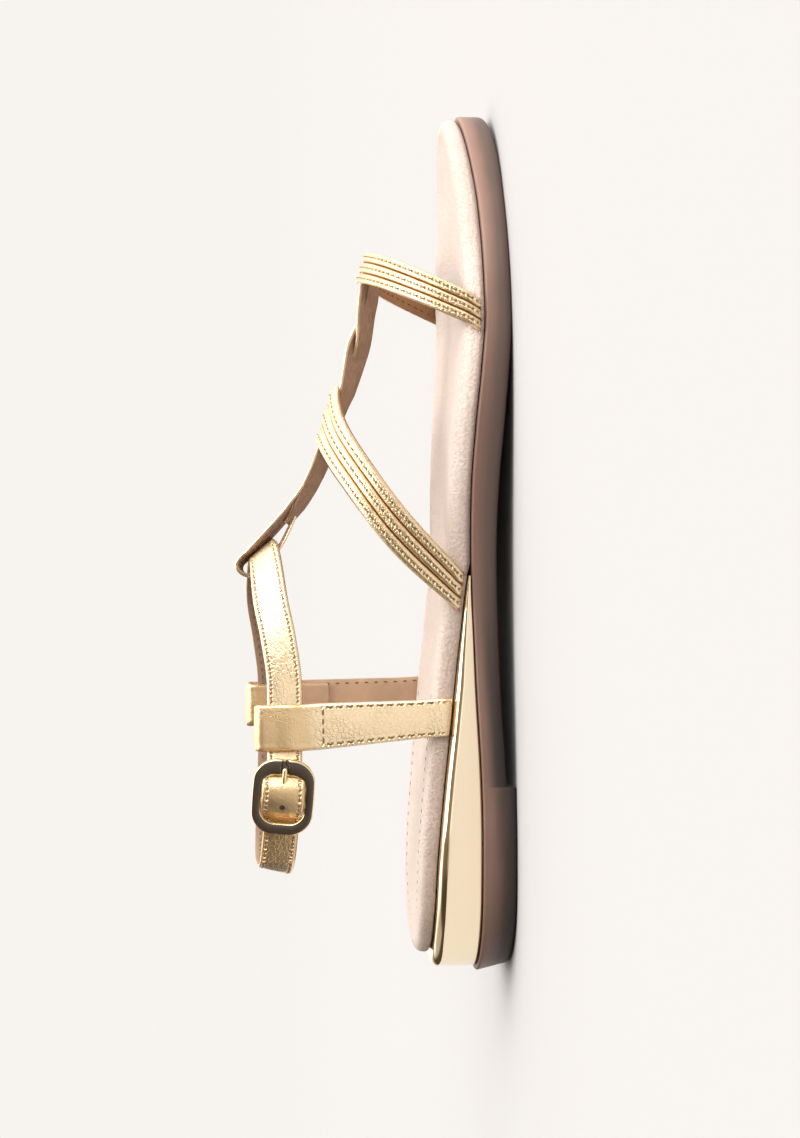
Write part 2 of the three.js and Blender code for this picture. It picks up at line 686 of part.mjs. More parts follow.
// A place on the ring of the ankle strap. angle is 0 at the front, 90 outside and 180 at the back.
function anklePlace(angle, out = 0) {
  const turn = THREE.MathUtils.degToRad(angle);
  const bend = (value, power) => Math.sign(value) * Math.abs(value) ** (2 / power);
  const power = Math.cos(turn) > 0 ? 2.3 : 3.2;
  const half = ANKLE_LENGTH / 2;
  const ring = (t) => new THREE.Vector3(
    ANKLE_BACK + half + half * bend(Math.cos(t), power),
    (-ANKLE_BREADTH / 2) * bend(Math.sin(t), power),
    0,
  );
  const at = ring(turn);
  const share = (at.x - ANKLE_BACK) / ANKLE_LENGTH;
  const run = ring(turn + 0.01).sub(ring(turn - 0.01)).normalize();
  const level = new THREE.Vector3(-run.y, run.x, 0);
  if (level.dot(new THREE.Vector3(at.x - ANKLE_BACK - half, at.y, 0)) < 0) level.negate();
  const lean = THREE.MathUtils.degToRad(follow(ANKLE_SIDE, "along", "lean", share));
  const up = new THREE.Vector3(0, 0, Math.cos(lean)).addScaledVector(level, -Math.sin(lean));
  const facing = level.multiplyScalar(Math.cos(lean)).setZ(Math.sin(lean));
  at.z = ANKLE_HEIGHT * follow(ANKLE_SIDE, "along", "height", share);
  return { at: at.addScaledVector(facing, out), out: facing, up };
}

// The ring's angle at x, on the outer side.
function ankleAngle(x) {
  const half = ANKLE_LENGTH / 2;
  const share = (x - ANKLE_BACK - half) / half;
  const power = share > 0 ? 2.3 : 3.2;
  return THREE.MathUtils.radToDeg(Math.acos(Math.sign(share) * Math.abs(share) ** (power / 2)));
}

// The buckle's own frame: X to the toe along the strap, Y up across it and Z away from the foot.
function buckleFrame() {
  const { at, out, up } = anklePlace(ankleAngle(BUCKLE_PLACE));
  const axes = new THREE.Matrix4().makeBasis(new THREE.Vector3().crossVectors(up, out), up, out);
  const turn = new THREE.Matrix4().makeRotationZ(THREE.MathUtils.degToRad(BUCKLE_TURN));
  return new THREE.Matrix4().setPosition(at).multiply(axes).multiply(turn);
}

const EYE_RADIUS = BAR_RADIUS + SEAM + EYE_WALL;
const BAR_OUT = BUCKLE_OUT - BUCKLE_THICK / 2;
const PASS_OUT = BAR_OUT + EYE_RADIUS + SEAM + ANKLE_THICK / 2; // the strap over the middle bar

// A closed bar bent round: a ring with a square section, from an outer and an inner radius.
function collar(outer, inner, length, x, y) {
  const shape = new THREE.Shape().absarc(0, 0, outer, 0, Math.PI * 2, false);
  shape.holes.push(new THREE.Path().absarc(0, 0, inner, 0, Math.PI * 2, true));
  const made = new THREE.ExtrudeGeometry(shape, { depth: length, bevelEnabled: false, curveSegments: 10 });
  return made.translate(0, 0, -length / 2).rotateX(-Math.PI / 2).translate(x, y, BAR_OUT);
}

function prong(grow = 0) {
  const radius = PRONG_RADIUS + grow;
  const rest = BUCKLE_OUT + BUCKLE_THICK / 2 + PRONG_RADIUS * 0.55;
  const start = new THREE.Vector3(0, 0, BAR_OUT + BAR_RADIUS + SEAM + PRONG_RADIUS);
  const end = new THREE.Vector3(BUCKLE_LENGTH / 2 - BUCKLE_TOE_BAR * 0.6 + grow, 0, rest);
  start.addScaledVector(end.clone().sub(start).normalize(), -3 * grow);
  const run = end.clone().sub(start);
  const shaft = new THREE.CylinderGeometry(radius * 0.8, radius, run.length(), 12);
  shaft.applyQuaternion(new THREE.Quaternion().setFromUnitVectors(
    new THREE.Vector3(0, 1, 0), run.clone().normalize()));
  const middle = start.clone().lerp(end, 0.5);
  shaft.translate(middle.x, middle.y, middle.z);
  const hinge = collar(BAR_RADIUS + SEAM + EYE_WALL * 0.75 + grow, BAR_RADIUS + SEAM - grow,
    2 * radius, 0, 0);
  return grow > 0 ? shaft : join(shaft, hinge);
}

function buckle() {
  const outer = new THREE.Shape();
  const left = -BUCKLE_LENGTH / 2;
  const right = BUCKLE_LENGTH / 2;
  const top = BUCKLE_HEIGHT / 2;
  const rounded = (path, x0, x1, y, radius) => {
    path.moveTo(x0 + radius, -y).lineTo(x1 - radius, -y);
    path.absarc(x1 - radius, -y + radius, radius, -Math.PI / 2, 0, false);
    path.absarc(x1 - radius, y - radius, radius, 0, Math.PI / 2, false);
    path.absarc(x0 + radius, y - radius, radius, Math.PI / 2, Math.PI, false);
    path.absarc(x0 + radius, -y + radius, radius, Math.PI, Math.PI * 1.5, false);
    return path;
  };
  rounded(outer, left, right, top, BUCKLE_CORNER);
  const window = new THREE.Path();
  rounded(window, left + BUCKLE_HEEL_BAR, right - BUCKLE_TOE_BAR, top - BUCKLE_RAIL,
    BUCKLE_CORNER - BUCKLE_RAIL);
  outer.holes.push(window);
  const bevel = 0.35;
  const frame = new THREE.ExtrudeGeometry(outer, {
    depth: BUCKLE_THICK - 2 * bevel,
    bevelThickness: bevel,
    bevelSize: bevel,
    bevelOffset: -bevel,
    bevelSegments: 1,
    curveSegments: 6,
  }).translate(0, 0, BUCKLE_OUT - BUCKLE_THICK / 2 + bevel);
  const reach = BUCKLE_HEIGHT - BUCKLE_RAIL;
  const bar = new THREE.CylinderGeometry(BAR_RADIUS, BAR_RADIUS, reach, 12).translate(0, 0, BAR_OUT);
  const notch = new THREE.CylinderGeometry(PRONG_RADIUS + SEAM, PRONG_RADIUS + SEAM, BUCKLE_TOE_BAR + 4, 12)
    .rotateZ(Math.PI / 2).translate(right, 0, BUCKLE_OUT + BUCKLE_THICK / 2 + PRONG_RADIUS * 0.4);
  return cut(join(frame, bar), notch);
}

// The ankle strap as one long strip: from its tail through the buckle, round the front, the inner side
// and the heel, and back under the tail to the middle bar, where it is turned into an eye.
function ankleStrap(buckleAt) {
  const tail = { from: -TAIL_LENGTH / BUCKLE_LENGTH, out: TAIL_OUT / PASS_OUT };
  const pass = [tail, ...BUCKLE_PASS].map((row) => (
    anklePlace(ankleAngle(BUCKLE_PLACE + row.from * BUCKLE_LENGTH), row.out * PASS_OUT)));
  const start = ankleAngle(BUCKLE_PLACE + BUCKLE_LENGTH * 0.72);
  const finish = ankleAngle(BUCKLE_PLACE - EYE_RADIUS) - 360;
  const count = 46;
  const ring = Array.from({ length: count + 1 }, (_, i) => (
    anklePlace(THREE.MathUtils.lerp(start, finish, i / count))));
  const strip = strap([...pass, ...ring], ANKLE_WIDTH, ANKLE_THICK);
  const eyes = [-1, 1].map((side) => {
    const gap = PRONG_RADIUS + SEAM;
    const length = ANKLE_WIDTH / 2 - gap - 0.4;
    return collar(EYE_RADIUS, BAR_RADIUS + SEAM, length, 0, side * (gap + length / 2));
  });
  const web = new THREE.BoxGeometry(EYE_WALL * 3, ANKLE_WIDTH * 0.8, BAR_OUT)
    .translate(-EYE_RADIUS - EYE_WALL * 0.3, 0, BAR_OUT / 2 - 0.2);
  const slot = new THREE.BoxGeometry(EYE_RADIUS * 4, 2 * (PRONG_RADIUS + SEAM), EYE_RADIUS * 2.4)
    .translate(0, 0, BAR_OUT - EYE_RADIUS * 0.2);
  const turned = cut(join(eyes[0], eyes[1], web), slot).applyMatrix4(buckleAt);
  return cut(join(strip, turned), prong(SEAM).applyMatrix4(buckleAt));
}

// A side strap: tucked under the footbed, up outside it, over the ankle strap and down inside again.
function quarterHem(side, parts) {
  const x = QUARTER_PLACE + (side > 0 ? MEDIAL_LEAD : 0);
  const fall = (insoleUnder(x + 1) - insoleUnder(x - 1)) / 2;
  return parts.map((part) => {
    const { at, out } = hem(x, side, part);
    const thick = part > 1 ? TUCK_THICK : QUARTER_THICK;
    const wide = new THREE.Vector3(0, 0, 1).cross(wallAt(x, side).out);
    wide.z = fall * wide.x * Math.min(part, 1);
    return { at: at.addScaledVector(out, thick / 2), out, wide };
  });
}

function quarterStrap(side) {
  const foot = quarterHem(side, [3, 2, 1.67, 1.33, 1, 0.45, 0]);
  const x = QUARTER_PLACE - 2 + (side > 0 ? MEDIAL_LEAD : 0);
  const angle = side < 0 ? ankleAngle(x) : 360 - ankleAngle(x);
  const { at, out, up } = anklePlace(angle);
  const room = ANKLE_THICK / 2 + SEAM + QUARTER_THICK / 2;
  const topEdge = ANKLE_WIDTH / 2 + QUARTER_SLACK;
  const wide = new THREE.Vector3().crossVectors(up, out);
  const near = (rise, away, facing) => ({
    at: at.clone().addScaledVector(up, rise).addScaledVector(out, away),
    out: facing,
    wide,
  });
  const base = foot[foot.length - 1];
  const sewn = -ANKLE_WIDTH / 2 - QUARTER_SEWN;
  const outerEnd = near(-ANKLE_WIDTH / 2, room, out);
  const rise = [0.2, 0.4, 0.6, 0.8].map((share) => ({
    at: base.at.clone().lerp(outerEnd.at, share),
    out: base.out.clone().lerp(out, share).normalize(),
    wide: base.wide.clone().lerp(wide, share),
  }));
  const turned = (share) => {
    const turn = Math.PI * share;
    const facing = out.clone().multiplyScalar(Math.cos(turn)).addScaledVector(up, Math.sin(turn));
    return near(topEdge + QUARTER_THICK / 2 + (Math.sin(turn) - 1) * room, 0, facing);
  };
  const fold = [0, 0.2, 0.4, 0.6, 0.8, 1].map((share) => {
    const bent = turned(share);
    bent.at.addScaledVector(out, Math.cos(Math.PI * share) * room);
    return bent;
  });
  const outerPly = strap([...foot, ...rise, outerEnd, near(0, room, out), ...fold.slice(0, 4)],
    QUARTER_WIDTH, QUARTER_THICK);
  const inward = out.clone().negate();
  const lower = rise[2];
  const sewnAt = (share) => {
    const start = near(-ANKLE_WIDTH / 2 - 1, -room, inward).at;
    const end = near(sewn, 0, inward).at;
    end.y = THREE.MathUtils.lerp(base.at.y, outerEnd.at.y, (end.z - base.at.z) / (outerEnd.at.z - base.at.z));
    end.addScaledVector(out, -QUARTER_THICK * 0.9);
    return { at: start.lerp(end, share), out: lower.out.clone().negate(), wide };
  };
  const innerPly = strap([fold[3], fold[4], fold[5], near(0, -room, inward), sewnAt(0), sewnAt(0.5), sewnAt(1)],
    QUARTER_WIDTH, QUARTER_THICK);
  return join(outerPly, innerPly);
}

function quarterPocket(side) {
  const depth = SEAM / TUCK_DEPTH;
  const stations = quarterHem(side, [3 + depth, 2, 1.5, 1, 0.45]);
  for (const { at, out } of stations) at.addScaledVector(out, TUCK_LIFT / 2);
  return strap(stations, QUARTER_WIDTH + 2 * SEAM, QUARTER_THICK + 2 * SEAM + TUCK_LIFT);
}

// The T-bar's fold round the front of the ankle strap, joined to the strip that runs down from it.
function ankleLoop() {
  const { at, out, up } = anklePlace(0);
  const room = ANKLE_THICK / 2 + SEAM + LOOP_PLY / 2;
  const near = (row) => at.clone().addScaledVector(up, row.up * ANKLE_WIDTH)
    .addScaledVector(out, row.out * room);
  const meet = BRAID.back[0];
  const x = meet.along * SOLE_LENGTH;
  const slope = (ridge(x + 1) - ridge(x - 1)) / 2;
  const run = new THREE.Vector3(1, 0, slope).normalize();
  const above = new THREE.Vector3(-slope, 0, 1).normalize();
  const below = (away, lift) => new THREE.Vector3(x, 0, ridge(x) - meet.sink * BRAID_WIDTH)
    .addScaledVector(run, -away).addScaledVector(above, lift * LOOP_PLY);
  const wide = new THREE.Vector3(0, 1, 0);
  const points = [
    below(-6, 0.6), below(0, 0.6), ...LOOP.map(near), below(5, -0.9), below(-3, -0.65)];
  const curve = new THREE.CatmullRomCurve3(points, false, "centripetal");
  const count = points.length * 2;
  const stations = Array.from({ length: count + 1 }, (_, i) => (
    { at: curve.getPointAt(i / count), out: wide.clone().cross(curve.getTangentAt(i / count)), wide }));
  return strap(stations, LOOP_WIDTH, LOOP_PLY);
}

function upper() {
  return join(
    bandSolid(TOE_BAND),
    bandSolid(INSTEP_BAND),
    ...Object.values(BRAID).map((rows) => strip(rows)),
    ankleLoop(),
  );
}

// One sub-part: a closed geometry with its name and finish.
function part(name, geometry, color, roughness, metalness = 0) {
  const facets = geometry.index ? geometry.toNonIndexed() : geometry;
  facets.computeVertexNormals();
  const mesh = new THREE.Mesh(facets, new THREE.MeshStandardMaterial({ color, roughness, metalness }));
  mesh.name = name;
  return mesh;
}

function sandal() {
  const group = new THREE.Group();
  const buckleAt = buckleFrame();
  const pockets = [-1, 1].flatMap((side) => [
    bandPocket(TOE_BAND, side), bandPocket(INSTEP_BAND, side), quarterPocket(side)]);
  group.add(
    part("outsole", outsole(), COLOURS.outsole, 0.5),
    part("wedge", wedge(), COLOURS.wedge, 0.08, 1),
    part("insole", cut(insole(), ...pockets), COLOURS.insole, 0.95),
    part("upper", upper(), COLOURS.gold, 0.35, 0.9),
    part("quarter_strap_lateral", quarterStrap(-1), COLOURS.gold, 0.35, 0.9),
    part("quarter_strap_medial", quarterStrap(1), COLOURS.gold, 0.35, 0.9),
    part("ankle_strap", ankleStrap(buckleAt), COLOURS.gold, 0.35, 0.9),
  );
  const fastening = new THREE.Group();
  fastening.applyMatrix4(buckleAt);
  fastening.add(
    part("buckle_frame", buckle(), COLOURS.frame, 0.3, 0.6),
    part("buckle_prong", prong(), COLOURS.prong, 0.2, 1),
  );
  group.add(fastening);
  const box = new THREE.Box3().setFromObject(group, true);
  group.position.set(-(box.min.x + box.max.x) / 2, -(box.min.y + box.max.y) / 2, -box.min.z);
  return group;
}

export default sandal();
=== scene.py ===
# A flat gladiator sandal in gold leather, made around its packed solids: the rubber sole, the mirror wedge,
# the suede footbed, the corded bands, the braided T-bar, the side straps, the ankle strap and the buckle.
import bisect
import math

import bmesh
import bpy
from bpy.props import FloatProperty, FloatVectorProperty, PointerProperty
from bpy.types import Operator, Panel, PropertyGroup
from mathutils import Matrix, Vector, noise


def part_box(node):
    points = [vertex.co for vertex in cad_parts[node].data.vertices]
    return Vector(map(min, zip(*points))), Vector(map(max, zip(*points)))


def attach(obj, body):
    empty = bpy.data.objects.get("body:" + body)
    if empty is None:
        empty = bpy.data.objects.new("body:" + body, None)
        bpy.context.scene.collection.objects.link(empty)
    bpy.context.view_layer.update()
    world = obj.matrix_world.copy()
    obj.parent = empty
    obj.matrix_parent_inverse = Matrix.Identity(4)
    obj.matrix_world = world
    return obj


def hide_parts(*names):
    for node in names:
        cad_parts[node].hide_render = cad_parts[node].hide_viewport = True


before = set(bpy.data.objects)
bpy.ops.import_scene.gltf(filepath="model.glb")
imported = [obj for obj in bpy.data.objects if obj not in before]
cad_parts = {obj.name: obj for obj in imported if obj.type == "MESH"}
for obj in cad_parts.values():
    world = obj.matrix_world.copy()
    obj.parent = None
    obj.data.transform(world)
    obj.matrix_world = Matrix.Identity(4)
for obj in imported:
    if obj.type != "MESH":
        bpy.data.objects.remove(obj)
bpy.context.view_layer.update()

bl_info = {
    "name": "Gladiator sandal",
    "version": (1, 0, 0),
    "blender": (4, 5, 0),
    "location": "View3D > Sidebar > Sandal",
    "description": "Makes a flat gladiator sandal with metallic straps around its packed solids",
    "category": "Add Mesh",
}

MM = 0.001
UP = Vector((0, 0, 1))


def table(columns, *rows):
    """Rows of numbers under the names of their columns."""
    return [dict(zip(columns.split(), row)) for row in rows]


# All shapes are worked out in millimetres, with X from the back of the heel to the toe, +Y to the inner
# side of the foot and Z up from the floor, and are then moved to the frame's origin.
SOLE_LOW, SOLE_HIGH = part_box("outsole")
SOLE_LENGTH = (SOLE_HIGH.x - SOLE_LOW.x) / MM
MIDDLE_LINE = 0.07  # from the frame's X axis to the middle line of the heel
TO_FRAME = Vector((SOLE_LOW.x / MM, MIDDLE_LINE, 0))

# The rubber sole, the wedge and the footbed.
BALL_WIDTH = 85
HEEL_ROUND = 32
TOE_ROUND = 52
HEEL_LIFT = 2.7
HEEL_BREAST = 55
ARCH_HOLLOW = 3.2
TOE_SPRING = 1.6
OUTSOLE_EDGE = 7.2
OUTSOLE_ROUND = 2.2
RUBBER_LEAN = 0.15  # the rubber's side leans in this far from its upper edge down to the ground
HEEL_LEAN = 1.5  # and up to this much more behind the heel
HEEL_LEAN_END = 16
WEDGE_LENGTH = 115
WEDGE_HEIGHT = 13
WEDGE_SETBACK = 1.3
WEDGE_BEVEL = 2.5
WEDGE_RUN_OUT = 3  # past the wedge's end the footbed comes down on the rubber over this length
INSOLE_PAD = 6.3
INSOLE_SETBACK = 5.7
INSOLE_DISH = 0.7
HEEL_PAD_REACH = 84
HEEL_PAD_PITCH = 3.0
SEAM = 0.3

# The last, the bands and the T-bar.
INSTEP_HEIGHT = 75
INSTEP_PLACE = 120
PAD_SHOULDER = 2
TUCK_THICK = 1.2
TUCK_DEPTH = 7
TUCK_LIFT = 0.25
FOLD_RADIUS = 0.5
MEDIAL_LEAD = 5
BRAID_WIDTH = 5.4
LOOP_WIDTH = 8
LOOP_PLY = 1.2
LOOP_LEAN = 27
BRAID_TIP = 0.45  # how wide a strip of the T-bar starts, as a share of its full width
BRAID_TIP_STEPS = 9
LOOP_TIP_STEPS = 30
LOOP_TIP_LEAN = 1.15
LOOP_TIP_LEAN_STEPS = 26
LOOP_LEVEL_AT = 0.62  # the share of the fold's length where it lies level again
LOOP_LEVEL_SPAN = 0.12
LOOP_END = 0.2  # how narrow the fold ends, hidden under the strip it is sewn to
LOOP_END_FROM = 80
LOOP_END_STEPS = 26
BAND_STEP = 0.8
BAND_PASSES = 14  # passes of averaging that round a band's kinks
BAND_MORE_PASSES = 150  # and more of them away from its tucked ends
BAND_CLEAR = TUCK_DEPTH + 6
HEM_PARTS = 3, 2.5, 2, 1.8, 1.6, 1.4, 1.2, 1, 0.85, 0.7, 0.55, 0.4, 0.25, 0.12
SEAM_FROM_TUCK = TUCK_DEPTH + 2

# The ankle strap and the side straps.
ANKLE_THICK = 1.6
ANKLE_HEIGHT = 66
ANKLE_LENGTH = 92
ANKLE_BREADTH = 54
ANKLE_BACK = 31.5
ANKLE_FRONT_POWER = 2.3
ANKLE_HEEL_POWER = 3.2
QUARTER_THICK = 1.5
QUARTER_PLACE = 75
QUARTER_SLACK = 2.2
QUARTER_SEWN = 11
BOX_RISE = 7
INNER_PLY_NARROWER = 0.12  # so that it stays hidden behind the outer one
SIDE_FOOT_SCALE = 0.87
SIDE_FOLD_SCALE = 1.05
SIDE_TAPER_FROM = 28
SIDE_TAPER_RISE = 28
SIDE_HEM_PARTS = 3, 2.5, 2, 1.67, 1.33, 1, 0.45, 0
SIDE_LEAN_BACK = 2  # the fold lies this far behind the foot of its strap
SIDE_PITCH = 1.2  # the side straps' stitches lie this much farther apart, and are this much bolder
SIDE_BOLD = 1.45
BOX_BOLD = 1.6
BOX_REACH = 0.075
# Painted shade on the side straps' gold above their box seam: the rise over which it comes in, and how deep
# it gets.
SIDE_PAINTED_SHADE_RISE = 8
SIDE_PAINTED_SHADE = 0.5
ANKLE_PAINTED_SHADE = 44, 24, 0.55  # the lengths between which painted shade deepens the gold towards the tail, and by how much
INSIDE = -0.1  # how far a seam lies below the lining's face

# The buckle and the strap's tail.
BUCKLE_LENGTH = 21.6
BUCKLE_HEIGHT = 17.6
BUCKLE_CORNER = 6
BUCKLE_RAIL = 2.4
BUCKLE_HEEL_BAR = 3.3
BUCKLE_TOE_BAR = 4.6
PRONG_REST = 2.2
BUCKLE_THICK = 2
BUCKLE_PLACE = 54.2
BUCKLE_TURN = -5
BUCKLE_OUT = 4.3
BAR_RADIUS = 1
PRONG_RADIUS = 0.9
EYE_WALL = 0.8
TAIL_LENGTH = 17
PRONG_HOLE = 59.3
HOLE_PITCH = 7.6
TAIL_OUT = 3.4
TAIL_SLANT = 2.6
TAIL_SLANT_END = 9
TAIL_SEAM = 1.3
TAIL_SEAM_REACH = 0.06
HOLE_RADIUS = 0.85
HOLE_PROUD = 1.06  # how far the disc of painted shade in a hole stands out, as a share of the strap's thickness
PASS_SWELL = 0.24  # how much wider the strap is where the buckle presses on it
PASS_SWELL_AHEAD = 0.4  # where this is widest, ahead of the middle bar
PASS_SWELL_HALF = 4.5
PASS_SWELL_FADE = 3.5
RING_START = 0.72  # where the plain ring starts, in buckle lengths from the middle bar
EYE_RADIUS = BAR_RADIUS + SEAM + EYE_WALL
BAR_OUT = BUCKLE_OUT - BUCKLE_THICK / 2
PASS_OUT = BAR_OUT + EYE_RADIUS + SEAM + ANKLE_THICK / 2

# How finely the pieces are made.
SOLE_STEPS = 150
BAND_ARCH_STEPS = 120
STRIP_STEPS = 60
LOOP_STEPS = 110
SIDE_STRAP_STEPS = 200
PASS_STEPS = 90
RING_STEPS = 240
FRAME_STEPS = 260
TUBE_STEPS = 28
PRONG_STEPS = 18
TINY = 1e-9

# Lengths along the sole between which painted shade and painted light on the sides of the footbed and the
# rubber fade in and out.
SUEDE_PAINTED_SHADE_UNTIL = 60, 150
SUEDE_PAINTED_LIGHT_FROM = 120, 180
SUEDE_PAINTED_LIGHT_UNTIL = 195, 222
RUBBER_PAINTED_SHADE_UNTIL = 70, 130
RUBBER_PAINTED_LIGHT_FROM = 150, 240

# A needle hole is a soft spot beside its seam's line and at either end of a stitch.
HOLE_BESIDE = 0.12, 0.55
HOLE_AT_END = 0.1, 0.45
HOLE_FROM_MIDDLE = 0.62
GROOVE_BESIDE = 0.1, 0.42

# The camera, the floor, whose radius and fade are in metres, and the two suns.
CAMERA_PLACE = Vector((117.4, -1050, 122))
CAMERA_TARGET = Vector((117.4, 0, 29.4))
FLOOR_RADIUS = 30
FLOOR_FADE = 0.35, 1.6
SUN_SPREAD = math.radians(50)
OVERHEAD_WAY = Vector((-0.35, 0.3, -1))
TOE_SIDE_WAY = Vector((-1, 0.75, -0.45))
BLACK = 0.0, 0.0, 0.0

# The sole from above. Shares: along of the sole's length, half and middle of the ball's width.
SOLE_PLAN = table(
    "along half middle",
    (0.0, 0.353, 0.0),
    (0.1, 0.353, 0.0),
    (0.18, 0.374, 0.0),
    (0.28, 0.368, -0.015),
    (0.38, 0.353, -0.029),
    (0.48, 0.359, -0.047),
    (0.58, 0.403, -0.056),
    (0.66, 0.456, -0.044),
    (0.72, 0.488, -0.024),
    (0.78, 0.497, 0.003),
    (0.84, 0.484, 0.029),
    (0.9, 0.462, 0.053),
    (0.95, 0.456, 0.071),
    (1.0, 0.456, 0.082),
)

# The sole from the side. Shares of the heel lift, the arch's hollow, the toe spring, the rubber's edge,
# the footbed's thickness and its setback.
SOLE_SIDE = table(
    "along lift arch spring edge pad setback",
    (0.0, 1, 0, 0, 1.0, 0.66, 1.0),
    (0.1, 1, 0, 0, 0.98, 0.76, 0.76),
    (0.22, 1, 0.03, 0, 0.97, 0.84, 0.58),
    (0.31, 0.9, 0.46, 0, 0.94, 0.9, 0.47),
    (0.375, 0.75, 0.74, 0, 0.94, 0.94, 0.41),
    (0.44, 0.6, 0.98, 0, 0.97, 0.97, 0.37),
    (0.505, 0.45, 1.09, 0, 1.0, 1.0, 0.33),
    (0.57, 0.3, 0.97, 0, 1.06, 0.98, 0.3),
    (0.636, 0.17, 0.61, 0, 1.09, 0.99, 0.28),
    (0.7, 0.06, 0.26, 0, 1.05, 1.0, 0.27),
    (0.76, 0, 0, 0, 1.03, 1.0, 0.26),
    (0.88, 0, 0, 0, 1.05, 0.92, 0.24),
    (0.95, 0, 0, 0.25, 1.15, 0.84, 0.2),
    (1.0, 0, 0, 1, 1.16, 0.74, 0.17),
)

# How the wedge runs out. Shares of its length and height.
WEDGE_SIDE = table(
    "along height",
    (0.0, 0.96),
    (0.1, 1.0),
    (0.2, 0.98),
    (0.3, 0.94),
    (0.4, 0.86),
    (0.5, 0.75),
    (0.6, 0.61),
    (0.7, 0.47),
    (0.8, 0.335),
    (0.9, 0.19),
    (1.0, 0.05),
)

# The ridge of the last. Shares: along of the way from the ankle to the toe, ridge of the instep's height.
LAST_RIDGE = table(
    "along ridge",
    (-0.2, 1.4),
    (0.0, 1.0),
    (0.055, 0.895),
    (0.108, 0.818),
    (0.2, 0.735),
    (0.27, 0.69),
    (0.34, 0.652),
    (0.4, 0.613),
    (0.485, 0.562),
    (0.577, 0.53),
    (0.623, 0.519),
    (0.654, 0.504),
    (0.685, 0.481),
    (0.731, 0.44),
    (1.0, 0.3),
)

# One side of each band, from its foot to the ridge. turn is the share of the quarter turn round the last.
TOE_BAND = {
    "foot": {"along": 0.752, "spread": 1.07},
    "rows": table(
        "turn along spread",
        (0.0, 0.762, 1.1),
        (0.34, 0.791, 1.15),
        (0.65, 0.811, 1.08),
        (1.0, 0.821, 1.02),
    ),
}
INSTEP_BAND = {
    "foot": {"along": 0.44, "spread": 0.98},
    "rows": table(
        "turn along spread",
        (0.0, 0.453, 1.05),
        (0.114, 0.488, 1.12),
        (0.271, 0.529, 1.15),
        (0.455, 0.574, 1.12),
        (0.62, 0.603, 1.14),
        (0.82, 0.634, 1.32),
        (1.0, 0.66, 1.8),
    ),
}
BAND_CORDS = 3

# Across one raised cord of a band. Shares of the cord's width and of the band's thickness.
CORD = table(
    "across height",
    (0.0, 0.5),
    (0.05, 0.74),
    (0.12, 0.91),
    (0.24, 0.985),
    (0.38, 1.0),
    (0.46, 0.965),
    (0.5, 0.95),
    (0.54, 0.965),
    (0.62, 1.0),
    (0.76, 0.985),
    (0.88, 0.91),
    (0.95, 0.74),
)

# From the outer edge of a strap round to its middle inside. gold is 0 where the lining shows.
STRAP_EDGE = table(
    "across height gold",
    (0.0, 1.05, 1),
    (0.2, 1.03, 1),
    (0.3, 0.99, 1),
    (0.37, 0.955, 1),
    (0.43, 0.985, 1),
    (0.468, 0.9, 1),
    (0.488, 0.7, 1),
    (0.49, 0.53, 1),
    (0.478, 0.49, 0),
    (0.498, 0.43, 0),
    (0.5, 0.14, 0),
    (0.48, 0.0, 0),
    (0.3, 0.0, 0),
)
BAND_EDGE = table(
    "across height gold",
    (0.503, 0.4, 1),
    (0.497, 0.33, 0),
    (0.49, 0.07, 0),
    (0.46, 0.0, 0),
    (0.2, 0.0, 0),
)

# Strips of the T-bar. Shares: along of the sole's length, across and sink of the braid's width.
# lean is how far the outer edge is turned up, in degrees.
BRAID = {
    "under": table(
        "along across sink lean",
        (0.65, 0.1, 0.65, 45),
        (0.684, 0.05, 0.6, 46),
        (0.71, 0.12, 0.6, 46),
        (0.735, 0.12, 0.58, 48),
        (0.765, 0.0, 0.52, 48),
        (0.79, -0.05, 0.58, 42),
        (0.82, 0.0, 0.45, 20),
    ),
    "over": table(
        "along across sink lean",
        (0.65, -0.35, 0.58, 42),
        (0.684, -0.4, 0.42, 47),
        (0.71, -0.32, 0.19, 43),
        (0.728, -0.12, 0.02, 30),
        (0.742, 0.15, 0.04, 15),
        (0.76, 0.5, 0.2, -5),
        (0.79, 0.75, 0.35, -10),
        (0.815, 0.6, 0.35, 0),
    ),
    "through": table(
        "along across sink lean",
        (0.65, 0.6, 0.5, 0),
        (0.685, 0.55, 0.55, 20),
        (0.71, 0.15, 0.56, 42),
        (0.735, -0.15, 0.53, 49),
        (0.765, -0.3, 0.31, 48),
        (0.795, -0.25, 0.2, 40),
        (0.815, -0.2, 0.15, 25),
    ),
    "back": table(
        "along across sink lean",
        (0.525, 0.0, 0.2, 24),
        (0.545, 0.0, 0.22, 38),
        (0.57, 0.0, 0.3, 55),
        (0.6, -0.05, 0.36, 62),
        (0.63, -0.1, 0.36, 58),
        (0.665, -0.1, 0.3, 45),
    ),
}

# The T-bar's fold round the ankle strap, from the side. Shares: up of the ankle strap's width, out of
# the room that the strap and one ply take.
LOOP = table(
    "up out",
    (0.28, 1.0),
    (0.55, 1.02),
    (0.74, 0.8),
    (0.84, 0.05),
    (0.85, -0.9),
    (0.76, -1.75),
    (0.58, -1.85),
    (0.3, -1.5),
    (-0.1, -1.45),
    (-0.42, -1.5),
)

# The ankle strap from the side. lean is how far its upper edge leans inwards, in degrees.
ANKLE_SIDE = table(
    "along height lean",
    (0.0, 1.03, 14),
    (0.08, 1.02, 10),
    (0.3, 0.998, 4),
    (0.58, 0.99, 4),
    (0.73, 1.012, 8),
    (0.85, 1.04, 16),
    (1.0, 1.055, 39),
)

